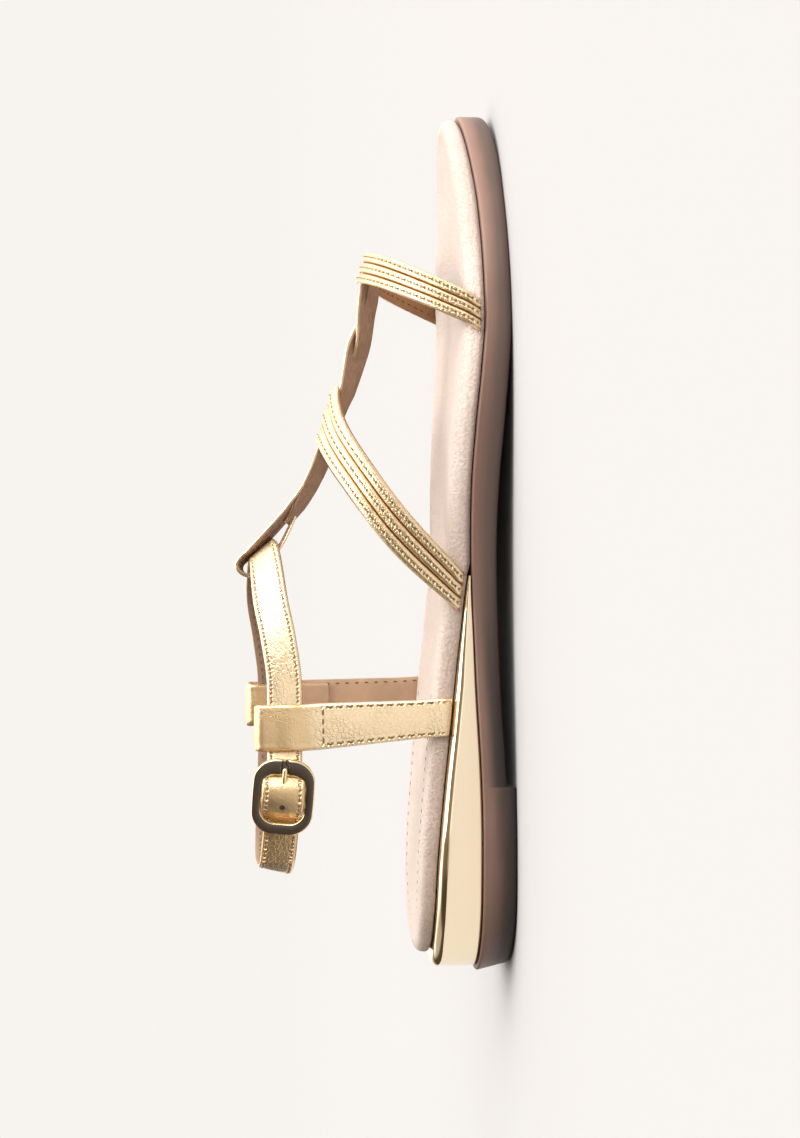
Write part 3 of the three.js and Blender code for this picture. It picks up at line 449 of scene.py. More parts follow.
# The strap through the buckle. Shares: place of the buckle's length towards the toe from its middle bar,
# out of the height at which the strap passes over that bar.
BUCKLE_PASS = table(
    "place out",
    (-TAIL_LENGTH / BUCKLE_LENGTH, TAIL_OUT / PASS_OUT),
    (-0.55, 0.33),
    (-0.43, 0.31),
    (-0.32, 0.38),
    (-0.23, 0.58),
    (-0.12, 0.88),
    (0.0, 1.0),
    (0.13, 0.95),
    (0.21, 0.74),
    (0.3, 0.38),
    (0.44, 0.14),
    (0.6, 0.0),
)

# The footbed's pillow edge. Shares: up of its height, set_in of its thickness from its side.
PILLOW = table(
    "up set_in",
    (0.0, 0.22),
    (0.17, 0.03),
    (0.42, 0.0),
    (0.66, 0.06),
    (0.84, 0.2),
    (0.95, 0.45),
    (1.0, 0.9),
)

# The rounded upper edge of the rubber, in millimetres.
RUBBER_LIP = table(
    "inset drop",
    (0.0, 0.7),
    (0.06, 0.4),
    (0.22, 0.16),
    (0.45, 0.04),
    (0.8, 0.0),
)

# Where the T-bar's fold leaves the strip it is sewn to and comes back to it: away from their meeting, in
# millimetres, and lift above it, in plies.
LOOP_START = table(
    "away lift",
    (-10, 0.4),
    (-3, 0.6),
)
LOOP_RETURN = table(
    "away lift",
    (7, -0.75),
    (3, -0.45),
)

# Round the buckle frame's section. Shares: across from its outer edge to the window, up of half its
# thickness. enamel is 1 on the black face.
FRAME_SECTION = table(
    "across up enamel",
    (0.0, -0.7, 0),
    (0.0, 0.45, 0),
    (0.02, 0.8, 0),
    (0.06, 0.97, 0),
    (0.1, 1.0, 1),
    (0.3, 1.04, 1),
    (0.5, 1.06, 1),
    (0.7, 1.04, 1),
    (0.88, 1.0, 1),
    (0.93, 0.92, 0),
    (0.98, 0.7, 0),
    (1.0, 0.4, 0),
    (1.0, -0.7, 0),
    (0.93, -1.0, 0),
    (0.07, -1.0, 0),
)

# The prong from its root to its round tip. Shares: far of its length, wide of its radius.
PRONG_FORM = table(
    "far wide",
    (0.0, 0.0),
    (0.0, 0.8),
    (0.02, 1.0),
    (0.5, 0.92),
    (0.9, 0.84),
    (0.95, 0.76),
    (0.98, 0.58),
    (0.995, 0.32),
    (1.0, 0.0),
)


def colour(name, description, default):
    """A colour that a user may change."""
    return FloatVectorProperty(
        name=name, description=description, default=default, size=3, min=0, max=1, subtype="COLOR")


def length(name, description, default):
    """A length that a user may change, given in millimetres and kept in metres."""
    return FloatProperty(name=name, description=description, default=default * MM, min=0, unit="LENGTH")


class SandalSole(PropertyGroup):
    """Colours and small forms of the sole and the footbed."""

    # From rubber near the ground to rubber_rim near the upper edge: the darker low colour is a painted
    # reflection of the dark floor.
    rubber: colour("Rubber", "Colour of the moulded rubber near its lower edge", (0.1, 0.063, 0.05))
    rubber_rim: colour("Rubber rim", "Colour of the rubber near its upper edge", (0.185, 0.106, 0.08))
    mirror: colour("Wedge film", "Colour of the mirror film on the wedge", (0.95, 0.81, 0.6))
    suede: colour("Suede", "Colour of the brushed suede", (0.685, 0.575, 0.512))
    # The suede shade is the suede against its nap, and also the painted shade down the footbed's side at the
    # heel.
    suede_shade: colour("Suede shade", "Colour of the suede against its nap", (0.44, 0.33, 0.265))
    nap: length("Nap", "Height of the suede's nap", 0.7)
    tread: length("Tread", "Depth of the fine tread", 0.5)
    heel_seam: length("Heel seam", "From the footbed's edge in to the stitched heel pad", 8.5)


class SandalStraps(PropertyGroup):
    """Sizes and colours of the straps."""

    toe_width: length("Toe band", "Width of the band over the toes", 8.4)
    instep_width: length("Instep band", "Width of the band over the instep", 11)
    band_thick: length("Band thickness", "Thickness of a band over its raised cords", 2.2)
    braid_thick: length("T-bar thickness", "Thickness of one strip of the T-bar", 1.5)
    ankle_width: length("Ankle strap", "Width of the ankle strap", 10)
    side_width: length("Side strap", "Width of a side strap", 12.6)
    crinkle: length("Crinkle", "Height of the crinkles in the metallic leather", 0.15)
    gold: colour("Gold", "Colour of the metallic leather", (0.92, 0.735, 0.49))
    # The deep gold is painted shade in the leather's creases, needle holes and grooves, and over the spans
    # where the gold darkens.
    gold_painted_shade: colour("Deep gold", "Colour of the leather in its creases and grooves", (0.56, 0.34, 0.12))
    lining: colour("Lining", "Colour of the side straps' lining", (0.53, 0.345, 0.22))
    # The bands' lining is the lining darkened by painted shade and a painted warm bounce from the gold.
    band_lining_painted_shade: colour("Band lining", "Colour of the bands' lining", (0.4, 0.21, 0.1))
    edge: colour("Edge", "Colour of the T-bar's edges and the ankle strap's lining", (0.31, 0.195, 0.125))


class SandalStitches(PropertyGroup):
    """Sizes and colour of the seams."""

    pitch: length("Pitch", "From one stitch to the next", 2.4)
    shown: length("Stitch", "Length of a stitch that shows", 1.25)
    thread: length("Thread", "Width of the thread", 0.42)
    margin: length("Margin", "From a strap's edge to its seam", 1.25)
    colour: colour("Thread colour", "Colour of the thread", (0.19, 0.12, 0.06))


class SandalBuckle(PropertyGroup):
    """Colours and small forms of the buckle."""

    enamel: colour("Enamel", "Colour of the enamel on the frame's face", (0.045, 0.03, 0.02))
    metal: colour("Metal", "Colour of the bare metal", (0.92, 0.73, 0.42))
    barrel: length("Barrel", "How far the upper and lower rails bow out", 0.5)


class SandalStage(PropertyGroup):
    """The camera, the lights and the floor."""

    lens: FloatProperty(name="Lens", description="Focal length of the camera", default=114.2, unit="CAMERA")
    roll: FloatProperty(
        name="Roll", description="Roll of the camera beside the upright toe", default=math.radians(1.1),
        subtype="ANGLE")
    overhead: FloatProperty(name="Overhead", description="Power of the soft light above", default=2.15, min=0)
    toe_side: FloatProperty(
        name="Toe side", description="Power of the soft light from the toe", default=2.1, min=0)
    surroundings: FloatProperty(
        name="Surroundings", description="Brightness of the pale surroundings", default=1.08, min=0)
    paper: colour("Paper", "Colour that is seen beyond the floor", (0.93, 0.905, 0.863))
    floor: colour("Floor", "Colour of the floor itself", (0.491, 0.485, 0.485))


GROUPS = {
    "sandal_sole": SandalSole,
    "sandal_straps": SandalStraps,
    "sandal_stitches": SandalStitches,
    "sandal_buckle": SandalBuckle,
    "sandal_stage": SandalStage,
}


class Wire:
    """A socket of a node tree that can be used in sums."""

    def __init__(self, nodes, socket):
        self.nodes = nodes
        self.socket = socket

    def __add__(self, other):
        return self.nodes.maths("ADD", self, other)

    def __radd__(self, other):
        return self.nodes.maths("ADD", other, self)

    def __sub__(self, other):
        return self.nodes.maths("SUBTRACT", self, other)

    def __rsub__(self, other):
        return self.nodes.maths("SUBTRACT", other, self)

    def __mul__(self, other):
        return self.nodes.maths("MULTIPLY", self, other)

    def __rmul__(self, other):
        return self.nodes.maths("MULTIPLY", other, self)

    def __truediv__(self, other):
        return self.nodes.maths("DIVIDE", self, other)

    def __rtruediv__(self, other):
        return self.nodes.maths("DIVIDE", other, self)


class Nodes:
    """A node tree under construction."""

    def __init__(self, tree):
        self.tree = tree

    def add(self, kind, settings=None, values=None, output=0):
        """A new node with its settings, then its values or links. Gives one of its outputs."""
        made = self.tree.nodes.new(kind)
        for key, value in (settings or {}).items():
            setattr(made, key, value)
        for key, value in (values or {}).items():
            self.put(made.inputs[key], value)
        return Wire(self, made.outputs[output])

    def put(self, socket, value):
        """Links a wire to a socket, or sets its value. A colour may leave out its alpha."""
        if isinstance(value, Wire):
            self.tree.links.new(value.socket, socket)
        elif socket.type == "RGBA" and len(value) == 3:
            socket.default_value = (*value, 1)
        else:
            socket.default_value = value

    def maths(self, operation, *values):
        return self.add("ShaderNodeMath", {"operation": operation}, dict(enumerate(values)))

    def bigger(self, first, second):
        return self.maths("MAXIMUM", first, second)

    def size(self, value):
        return self.maths("ABSOLUTE", value)

    def parts(self, vector):
        """The three parts of a vector."""
        node = self.add("ShaderNodeSeparateXYZ", None, {0: vector}).socket.node
        return [Wire(self, output) for output in node.outputs]

    def mix(self, factor, first, second):
        """A blend of two colours."""
        return self.add("ShaderNodeMix", {"data_type": "RGBA"}, {0: factor, 6: first, 7: second}, 2)

    def step(self, value, low, high):
        """0 where value is low, 1 where it is high, and a soft step between."""
        return self.add("ShaderNodeMapRange", {"interpolation_type": "SMOOTHSTEP"},
                        {"Value": value, "From Min": low, "From Max": high})

    def fall(self, value, low, high):
        """1 where value is low, 0 where it is high, and a soft step between."""
        return 1 - self.step(value, low, high)


class Finish(Nodes):
    """A material with one Principled shader."""

    def __init__(self, name):
        self.material = bpy.data.materials.new(name)
        self.material.use_nodes = True
        super().__init__(self.material.node_tree)
        self.shader = self.tree.nodes["Principled BSDF"]
        self.place = self.add("ShaderNodeTexCoord", output="Object")

    def set(self, **values):
        """Puts values or wires in the shader's sockets, by their names."""
        for key, value in values.items():
            self.put(self.shader.inputs[key.replace("_", " ").title().replace("Ior", "IOR")], value)

    def bump(self, height, distance):
        """Raises the surface by the height's wire, and gives the finished material."""
        made = self.add("ShaderNodeBump", None, {"Height": height, "Distance": distance, "Strength": 1.0})
        self.put(self.shader.inputs["Normal"], made)
        return self.material

    def lay(self):
        """Along a strap and across it, in millimetres, and what the piece keeps as its third part."""
        return self.parts(self.add("ShaderNodeAttribute", {"attribute_name": "lay"}, output="Vector"))

    def noise(self, grain, detail=3.0, roughness=0.55, stretch=(1, 1, 1), place=None):
        """Soft noise whose spots are grain millimetres wide."""
        moved = self.add("ShaderNodeMapping", None, {"Vector": place or self.place, "Scale": stretch})
        return self.add("ShaderNodeTexNoise", None, {
            "Vector": moved, "Scale": 1 / (grain * MM), "Detail": detail, "Roughness": roughness})

    def cell_edges(self, grain):
        """Distance to the borders of cells that are grain millimetres wide."""
        return self.add("ShaderNodeTexVoronoi", {"feature": "DISTANCE_TO_EDGE"},
                        {"Vector": self.place, "Scale": 1 / (grain * MM), "Randomness": 1.0})


def times(tint, level):
    """A colour made darker or lighter."""
    return tuple(min(1, level * part) for part in tint)


def needle_holes(finish, along, across, lines, pitch):
    """1 in the needle holes of the seams at lines, and 0 away from them."""
    turn = finish.maths("FRACT", along / pitch + 0.5)
    from_middle = finish.size(turn - 0.5) * pitch
    at_end = finish.fall(finish.size(from_middle - HOLE_FROM_MIDDLE), *HOLE_AT_END)
    holes = 0
    for line in lines:
        beside = finish.fall(finish.size(across - line), *HOLE_BESIDE)
        holes = finish.bigger(holes, beside * at_end)
    return holes


def gold_leather(name, straps, pitch=0, lines=(), grooves=(), until=None, work=1.0, painted_shade_span=None):
    """Crinkled metallic leather, with needle holes at lines as far as until, and painted shade in its
    creases, holes and grooves. work is how crinkled it is; the span of painted shade gives from and to where
    it darkens the gold, and how much."""
    finish = Finish(name)
    along, across, _ = finish.lay()
    cloudy = finish.noise(2.6, 4.0, 0.6)
    fine = finish.noise(0.55, 3.0, 0.65)
    crease = finish.fall(finish.cell_edges(1.35), 0.0, 0.16)
    zones = finish.step(finish.noise(11.0, 2.0, 0.5), 0.38, 0.62)
    worked = work * (0.35 + zones * 0.75)
    height = (cloudy * 1.3 + fine * 0.4 - crease * 0.4) * worked
    # Painted shade in the crinkles' creases and low spots.
    painted_shade = (crease * 0.25 + finish.fall(cloudy, 0.3, 0.5) * 0.15) * worked
    if lines:
        holes = needle_holes(finish, along, across, lines, pitch)
        if until is not None:
            holes = holes * finish.fall(along, until, until + 1)
        height = height - holes * 2.2
        # Painted shade in the needle holes.
        painted_shade = finish.bigger(painted_shade, holes * 0.85)
    # Painted shade darkens the gold over a span of the strap's length.
    if painted_shade_span:
        start, full, depth = painted_shade_span
        painted_shade = finish.bigger(painted_shade, finish.step(along, start, full) * depth)
    # Painted shade in the grooves between the cords.
    for groove in grooves:
        painted_shade = finish.bigger(painted_shade, finish.fall(finish.size(across - groove), *GROOVE_BESIDE))
    finish.set(
        base_color=finish.mix(painted_shade, straps.gold, straps.gold_painted_shade),
        metallic=0.92,
        roughness=0.2 + fine * 0.16 + painted_shade * 0.12,
    )
    return finish.bump(height, straps.crinkle)


def lining_leather(name, tint):
    """Smooth, dull lining leather with fine pores."""
    finish = Finish(name)
    cloud = finish.noise(9.0)
    pores = finish.noise(0.5, 3.0, 0.7)
    finish.set(
        base_color=finish.mix(finish.step(cloud, 0.3, 0.75) * 0.6 + pores * 0.25, tint, times(tint, 0.72)),
        roughness=0.55 + pores * 0.25,
    )
    return finish.bump(pores, 0.05 * MM)


def raw_edges(name, tint):
    """Cut plies seen from their edges: fine lines that run along the strip, with a little fluff."""
    finish = Finish(name)
    along, across, ply = finish.lay()
    strand = finish.noise(0.5, 4.0, 0.75)
    drawn_out = finish.add("ShaderNodeCombineXYZ", None, {0: along * 0.12 * MM, 1: across * MM, 2: ply * MM})
    plies = finish.noise(0.35, 3.0, 0.7, place=drawn_out)
    shade = finish.mix(finish.step(plies, 0.35, 0.65), times(tint, 0.55), times(tint, 1.35))
    finish.set(
        base_color=finish.mix(0.45 + strand * 0.2, shade, tint),
        roughness=0.75 + strand * 0.15,
    )
    return finish.bump(plies * 0.7 + strand * 0.5, 0.16 * MM)


def suede(sole):
    """Brushed suede with a pebbly nap that lies in soft patches, with painted shade down its side at the heel
    and painted light near the toe.
    """
    finish = Finish("suede")
    forward, _, up = finish.lay()
    patches = finish.noise(14.0, 4.0, 0.6)
    curls = finish.noise(0.8, 3.0, 0.6)
    hairs = finish.noise(0.45, 3.0, 0.8)
    down_side = finish.fall(up, 0.6, 0.99)
    painted_heel_shade = down_side * finish.fall(forward, *SUEDE_PAINTED_SHADE_UNTIL)
    painted_toe_light = down_side * finish.step(forward, *SUEDE_PAINTED_LIGHT_FROM) * finish.fall(forward, *SUEDE_PAINTED_LIGHT_UNTIL)
    # shade mixes the nap's own tone in patches and curls with painted shade down the side at the heel.
    shade = finish.step(patches, 0.3, 0.75) * 0.12 + finish.step(curls, 0.4, 0.64) * 0.28 + painted_heel_shade * 0.55
    # Painted light: the suede is made lighter down its side near the toe.
    brushed = finish.mix(painted_toe_light, sole.suede, times(sole.suede, 1.4))
    finish.set(
        base_color=finish.mix(shade, brushed, sole.suede_shade),
        roughness=0.95,
        sheen_weight=0.3,
        sheen_roughness=0.45,
        sheen_tint=(1.0, 0.93, 0.88),
        specular_ior_level=0.2,
    )
    return finish.bump(curls + hairs * 0.3, sole.nap)


def moulded_rubber(sole):
    """Satin rubber with faint flow marks and dust, darker towards the ground as a painted reflection of the
    dark floor, with painted shade at the heel and painted light at the toe.
    """
    finish = Finish("moulded_rubber")
    forward, _, up = finish.lay()
    streaks = finish.noise(9.0, 3.0, 0.5, stretch=(0.25, 1, 2.5))
    dust = finish.noise(0.7, 3.0, 0.7)
    # Darker towards the ground: a painted reflection of the dark floor, broken up by the flow marks.
    level = finish.step(up + (streaks - 0.5) * 0.4, 0.0, 1.0)
    # Painted shade on the low part at the heel, and painted light on the upper part at the toe.
    painted_heel_shade = finish.fall(forward, *RUBBER_PAINTED_SHADE_UNTIL)
    painted_toe_light = finish.step(forward, *RUBBER_PAINTED_LIGHT_FROM)
    low = finish.mix(painted_heel_shade, sole.rubber, times(sole.rubber, 0.24))
    high = finish.mix(painted_toe_light, sole.rubber_rim, times(sole.rubber_rim, 1.55))
    finish.set(
        base_color=finish.mix(level, low, high),
        roughness=0.36 + dust * 0.14,
        specular_ior_level=0.45,
    )
    return finish.bump(dust * 0.35 + streaks * 0.8, 0.06 * MM)


def tread_rubber(sole):
    """The ground side of the rubber, with a fine wavy tread whose grooves get painted shade."""
    finish = Finish("tread_rubber")
    sway = finish.add("ShaderNodeTexWave", {"wave_type": "BANDS", "bands_direction": "X"},
                      {"Vector": finish.place, "Scale": 62.0, "Distortion": 0.0})
    across = finish.add("ShaderNodeTexWave", {"wave_type": "BANDS", "bands_direction": "Y"},
                        {"Vector": finish.place, "Scale": 40.0, "Distortion": 6.0, "Detail Scale": 0.4})
    dust = finish.noise(0.8, 3.0, 0.7)
    ribs = finish.step(sway * 0.6 + across * 0.4, 0.35, 0.6)
    # Painted shade in the tread's grooves.
    finish.set(
        base_color=finish.mix(ribs * 0.8 + dust * 0.2, times(sole.rubber, 0.7), sole.rubber),
        roughness=0.6 + dust * 0.2,
    )
    return finish.bump(ribs, sole.tread)


def mirror_film(sole):
    """Polished gold film with the faint waves of what it covers."""
    finish = Finish("mirror_film")
    waves = finish.noise(26.0, 2.0, 0.4)
    haze = finish.noise(4.0, 4.0, 0.6)
    finish.set(base_color=sole.mirror, metallic=1.0, roughness=0.02 + haze * 0.05)
    return finish.bump(waves, 0.25 * MM)


def polished_metal(name, tint, dull):
    """Plated metal with light handling marks."""
    finish = Finish(name)
    marks = finish.noise(1.6, 4.0, 0.7)
    finish.set(base_color=tint, metallic=1.0, roughness=dull + marks * 0.12)
    return finish.bump(marks, 0.01 * MM)


def black_enamel(buckle):
    """Glossy black enamel with a soft, slightly wavy surface."""
    finish = Finish("black_enamel")
    waves = finish.noise(3.0, 2.0, 0.5)
    finish.set(base_color=buckle.enamel, roughness=0.16 + waves * 0.1, coat_weight=0.6, coat_roughness=0.08)
    return finish.bump(waves, 0.03 * MM)


def sewing_thread(name, tint):
    """Twisted thread."""
    finish = Finish(name)
    twist = finish.noise(0.25, 2.0, 0.6)
    finish.set(base_color=finish.mix(twist, times(tint, 0.5), tint), roughness=0.7)
    return finish.bump(twist, 0.05 * MM)


def painted_hole_shade():
    """Painted shade for the dark inside of a punched hole."""
    finish = Finish("hole_shade_disc")
    fluff = finish.noise(0.3, 2.0)
    finish.set(base_color=finish.mix(fluff, (0.02, 0.013, 0.008), (0.07, 0.045, 0.03)), roughness=0.95)
    return finish.material


def paper_floor(stage):
    """A pale, even floor that turns into plain paper, seen without shadows, far from the object."""
    finish = Finish("pale_floor")
    distance = finish.add("ShaderNodeVectorMath", {"operation": "LENGTH"}, {0: finish.place}, "Value")
    fibre = finish.noise(3.0, 2.0)
    far = finish.step(distance, *FLOOR_FADE)
    finish.set(
        base_color=finish.mix(far, finish.mix(fibre, times(stage.floor, 0.99), stage.floor), BLACK),
        roughness=0.9,
        specular_ior_level=0.0,
        emission_color=finish.mix(far, BLACK, stage.paper),
        emission_strength=1.0,
    )
    return finish.material


def follow(rows, column, place):
    """A column's value at a place along a table's first column, on a smooth curve that is level where the
    values turn."""
    key = next(iter(rows[0]))
    end = len(rows) - 1
    if place <= rows[0][key]:
        return rows[0][column]
    if place >= rows[end][key]:
        return rows[end][column]
    k = 0
    while place > rows[k + 1][key]:
        k += 1

    def slope(i):
        before = rows[max(i - 1, 0)]
        after = rows[min(i + 1, end)]
        turns = (rows[i][column] - before[column]) * (after[column] - rows[i][column]) <= 0
        if turns and 0 < i < end:
            return 0
        return (after[column] - before[column]) / (after[key] - before[key])

    span = rows[k + 1][key] - rows[k][key]
    t = (place - rows[k][key]) / span
    rise = rows[k + 1][column] - rows[k][column]
    start = slope(k) * span
    stop = slope(k + 1) * span
    return (rows[k][column] + t * start + t * t * (3 * rise - 2 * start - stop)
            + t ** 3 * (start + stop - 2 * rise))


def lerp(first, second, part):
    return first + (second - first) * part


def clamp(value, low=0.0, high=1.0):
    return min(max(value, low), high)


def lengths(points):
    """How far along a path each of its points lies."""
    made = [0.0]
    for before, after in zip(points, points[1:]):
        made.append(made[-1] + (after - before).length)
    return made


def between(stops, want):
    """Which stretch of rising stops holds want, and the share of that stretch before it."""
    k = int(clamp(bisect.bisect_right(stops, want) - 1, 0, len(stops) - 2))
    return k, (want - stops[k]) / max(stops[k + 1] - stops[k], TINY)


def run_at(path, k):
    """The direction of a path at its point k."""
    return (path[min(k + 1, len(path) - 1)] - path[max(k - 1, 0)]).normalized()


def end_round(x):
    """How much of the sole's width its rounded ends leave at x."""
    heel = max(0, 1 - x / HEEL_ROUND)
    toe = max(0, 1 - (SOLE_LENGTH - x) / TOE_ROUND)
    return max(0, 1 - heel ** 2) ** (1 / 2) * max(0, 1 - toe ** 1.85) ** (1 / 1.85)


def rim(x, side):
    """A point of the rubber's edge. side is -1 outside and 1 inside."""
    along = x / SOLE_LENGTH
    half = follow(SOLE_PLAN, "half", along) * end_round(x)
    middle = follow(SOLE_PLAN, "middle", along)
    return Vector((x, BALL_WIDTH * (middle + side * half)))


def edge_at(x, side, inset):
    """The rubber's edge set in by a distance, with the direction that faces out."""
    angle = math.acos(clamp(1 - 2 * x / SOLE_LENGTH, -1, 1))

    def nearby(turn):
        flip = -side if turn < 0 or turn > math.pi else side
        return rim((1 - math.cos(turn)) / 2 * SOLE_LENGTH, flip)

    step = 0.02
    run = (nearby(angle + step) - nearby(angle - step)).normalized()
    out = Vector((-side * run.y, side * run.x))
    if out.dot(Vector((x - SOLE_LENGTH / 2, side * BALL_WIDTH))) < 0:
        out.negate()
    return rim(x, side) - out * inset, out


def side_share(column, x):
    return follow(SOLE_SIDE, column, x / SOLE_LENGTH)


def plate_under(x):
    return (HEEL_LIFT * side_share("lift", x) + ARCH_HOLLOW * side_share("arch", x)
            + TOE_SPRING * side_share("spring", x))


def outsole_under(x):
    return 0 if x < HEEL_BREAST else plate_under(x)


def outsole_top(x):
    return plate_under(x) + OUTSOLE_EDGE * side_share("edge", x)


def wedge_thick(x):
    return WEDGE_HEIGHT * follow(WEDGE_SIDE, "height", x / WEDGE_LENGTH)


def insole_inset(x):
    return INSOLE_SETBACK * side_share("setback", x)


def insole_thick(x):
    return INSOLE_PAD * side_share("pad", x)


def insole_under(x):
    """The footbed lies on the wedge, and past the wedge's end on the rubber."""
    past = clamp((x - WEDGE_LENGTH - SEAM) / WEDGE_RUN_OUT)
    return outsole_top(x) + SEAM + (wedge_thick(x) + SEAM) * (1 - past)


def dip(depth, part, span):
    """How far a hollow across the sole dips at a share of its span."""
    return depth * math.sin(math.pi * part) * min(1, span / BALL_WIDTH * 2)


def insole_top(x):
    return insole_under(x) + insole_thick(x)


def ridge(x):
    along = (x - INSTEP_PLACE) / (SOLE_LENGTH - INSTEP_PLACE)
    return INSTEP_HEIGHT * follow(LAST_RIDGE, "ridge", along)


def wall_at(x, side):
    """The footbed's side, where a strap's inner face goes down."""
    at, out = edge_at(x, side, insole_inset(x) - SEAM)
    return at.to_3d(), out.to_3d()


def shoulder(x):
    return insole_top(x) - PAD_SHOULDER


def arch_point(x, degrees):
    """A point of the last, round from the outer shoulder at 0 degrees over the ridge to 180."""
    angle = math.radians(degrees)
    wall, _ = wall_at(x, -1 if degrees < 90 else 1)
    reach = abs(math.cos(angle))
    return Vector((
        x + (wall.x - x) * reach,
        wall.y * reach,
        shoulder(x) + (ridge(x) - shoulder(x)) * math.sin(angle),
    ))


def arch(x, degrees):
    """A point of the last with its outward direction."""
    step = 0.5
    round_it = arch_point(x, degrees + step) - arch_point(x, degrees - step)
    along = arch_point(x + step, degrees) - arch_point(x - step, degrees)
    return arch_point(x, degrees), along.cross(round_it).normalized()


def hem(x, side, part):
    """A strap's inner face below the shoulder. part runs 0 to 1 down the footbed's side, to 2 round its
    lower edge and to 3 in under it."""
    at, out = wall_at(x, side)
    flat = insole_under(x) + TUCK_THICK + TUCK_LIFT
    if part <= 1:
        at.z = lerp(shoulder(x), flat + FOLD_RADIUS, part)
        return at, out
    turn = min(part - 1, 1) * math.pi / 2
    facing = out * math.cos(turn) - UP * math.sin(turn)
    centre = at - out * FOLD_RADIUS
    centre.z = flat + FOLD_RADIUS
    place = centre + facing * FOLD_RADIUS
    if part > 2:
        place -= out * (part - 2) * TUCK_DEPTH
    return place, facing


def ring_power(forward):
    """How square the ankle strap's ring is, in front of its middle and behind it."""
    return ANKLE_FRONT_POWER if forward > 0 else ANKLE_HEEL_POWER


def ankle_place(angle, out=0.0):
    """A place on the ankle strap's ring. angle is 0 at the front, 90 outside and 180 at the back."""
    half = ANKLE_LENGTH / 2

    def bend(value, power):
        return math.copysign(abs(value) ** (2 / power), value)

    turn = math.radians(angle)
    power = ring_power(math.cos(turn))
    step = 0.01

    def ring(t):
        return Vector((ANKLE_BACK + half + half * bend(math.cos(t), power),
                       -ANKLE_BREADTH / 2 * bend(math.sin(t), power), 0))

    at = ring(turn)
    along = (at.x - ANKLE_BACK) / ANKLE_LENGTH
    run = (ring(turn + step) - ring(turn - step)).normalized()
    level = Vector((-run.y, run.x, 0))
    if level.dot(Vector((at.x - ANKLE_BACK - half, at.y, 0))) < 0:
        level.negate()
    lean = math.radians(follow(ANKLE_SIDE, "lean", along))
    up = Vector((0, 0, math.cos(lean))) - level * math.sin(lean)
    facing = level * math.cos(lean) + Vector((0, 0, math.sin(lean)))
    at.z = ANKLE_HEIGHT * follow(ANKLE_SIDE, "height", along)
    return at + facing * out, facing, up


def ankle_angle(x):
    """The ring's angle at x, on the outer side."""
    half = ANKLE_LENGTH / 2
    along = (x - ANKLE_BACK - half) / half
    return math.degrees(math.acos(math.copysign(abs(along) ** (ring_power(along) / 2), along)))


def buckle_frame():
    """The buckle's own frame: X to the toe along the strap, Y up across it and Z away from the foot."""
    at, out, up = ankle_place(ankle_angle(BUCKLE_PLACE))
    axes = Matrix((up.cross(out), up, out)).transposed().to_4x4()
    return Matrix.Translation(at) @ axes @ Matrix.Rotation(math.radians(BUCKLE_TURN), 4, "Z")


def placed(point):
    """A point in the frame, in metres."""
    return (point + TO_FRAME) * MM


class Strap:
    """A strap's inner face, as rows of points and outward directions across it."""

    SHARES = [k / 8 - 0.5 for k in range(9)]
    MIDDLE = 4

    def __init__(self, rows, width, flats=None):
        self.rows = rows
        self.width = width
        self.flats = flats or [0.0] * len(rows)
        self.along = lengths([row[self.MIDDLE][0] for row in rows])

    @classmethod
    def through(cls, stations, width, thick, scale=None):
        """From stations of at, the strap's middle, and out and wide, its directions."""
        rows = []
        for k, (at, out, wide) in enumerate(stations):
            base = at - out * (thick / 2)
            here = width * (scale(k) if scale else 1)
            rows.append([(base + wide * (here * across), out) for across in cls.SHARES])
        return cls(rows, width)

    def softened(self, step, passes, clear, more):
        """The same strap with rows at even steps, its kinks rounded by some passes of averaging, and by
        more passes at a clear distance from its ends."""
        count = max(int(self.along[-1] / step), 2)
        rows, flats = [], []
        for n in range(count + 1):
            k, part = between(self.along, self.along[-1] * n / count)
            rows.append([(a.lerp(b, part), out_a.lerp(out_b, part).normalized())
                         for (a, out_a), (b, out_b) in zip(self.rows[k], self.rows[k + 1])])
            flats.append(lerp(self.flats[k], self.flats[k + 1], part))
        edge = int(clear / step)
        for n in range(passes + more):
            first = 1 if n < passes else edge
            inner = slice(first, len(rows) - first)
            rows[inner] = [
                [((a + b * 2 + c) / 4, (out_a + out_b * 2 + out_c).normalized())
                 for (a, out_a), (b, out_b), (c, out_c) in zip(before, row, after)]
                for before, row, after in zip(rows[first - 1:], rows[inner], rows[first + 1:])
            ]
        return Strap(rows, self.width, flats)

    def in_row(self, k, across, lift):
        """A point in row k at a share of the width, lifted off the inner face, and the outward direction."""
        last = len(self.SHARES) - 1
        spot = (across + 0.5) * last
        i = min(int(clamp(spot, 0, last)), last - 1)
        part = spot - i
        (first, out_a), (second, out_b) = self.rows[k][i], self.rows[k][i + 1]
        out = out_a.lerp(out_b, clamp(part)).normalized()
        return first + (second - first) * part + out * lift, out

    def at(self, along, across, lift):
        """The same at a length along the strap."""
        k, part = between(self.along, along)
        first, out_a = self.in_row(k, across, lift)
        second, out_b = self.in_row(k + 1, across, lift)
        return first.lerp(second, part), out_a.lerp(out_b, clamp(part)).normalized()


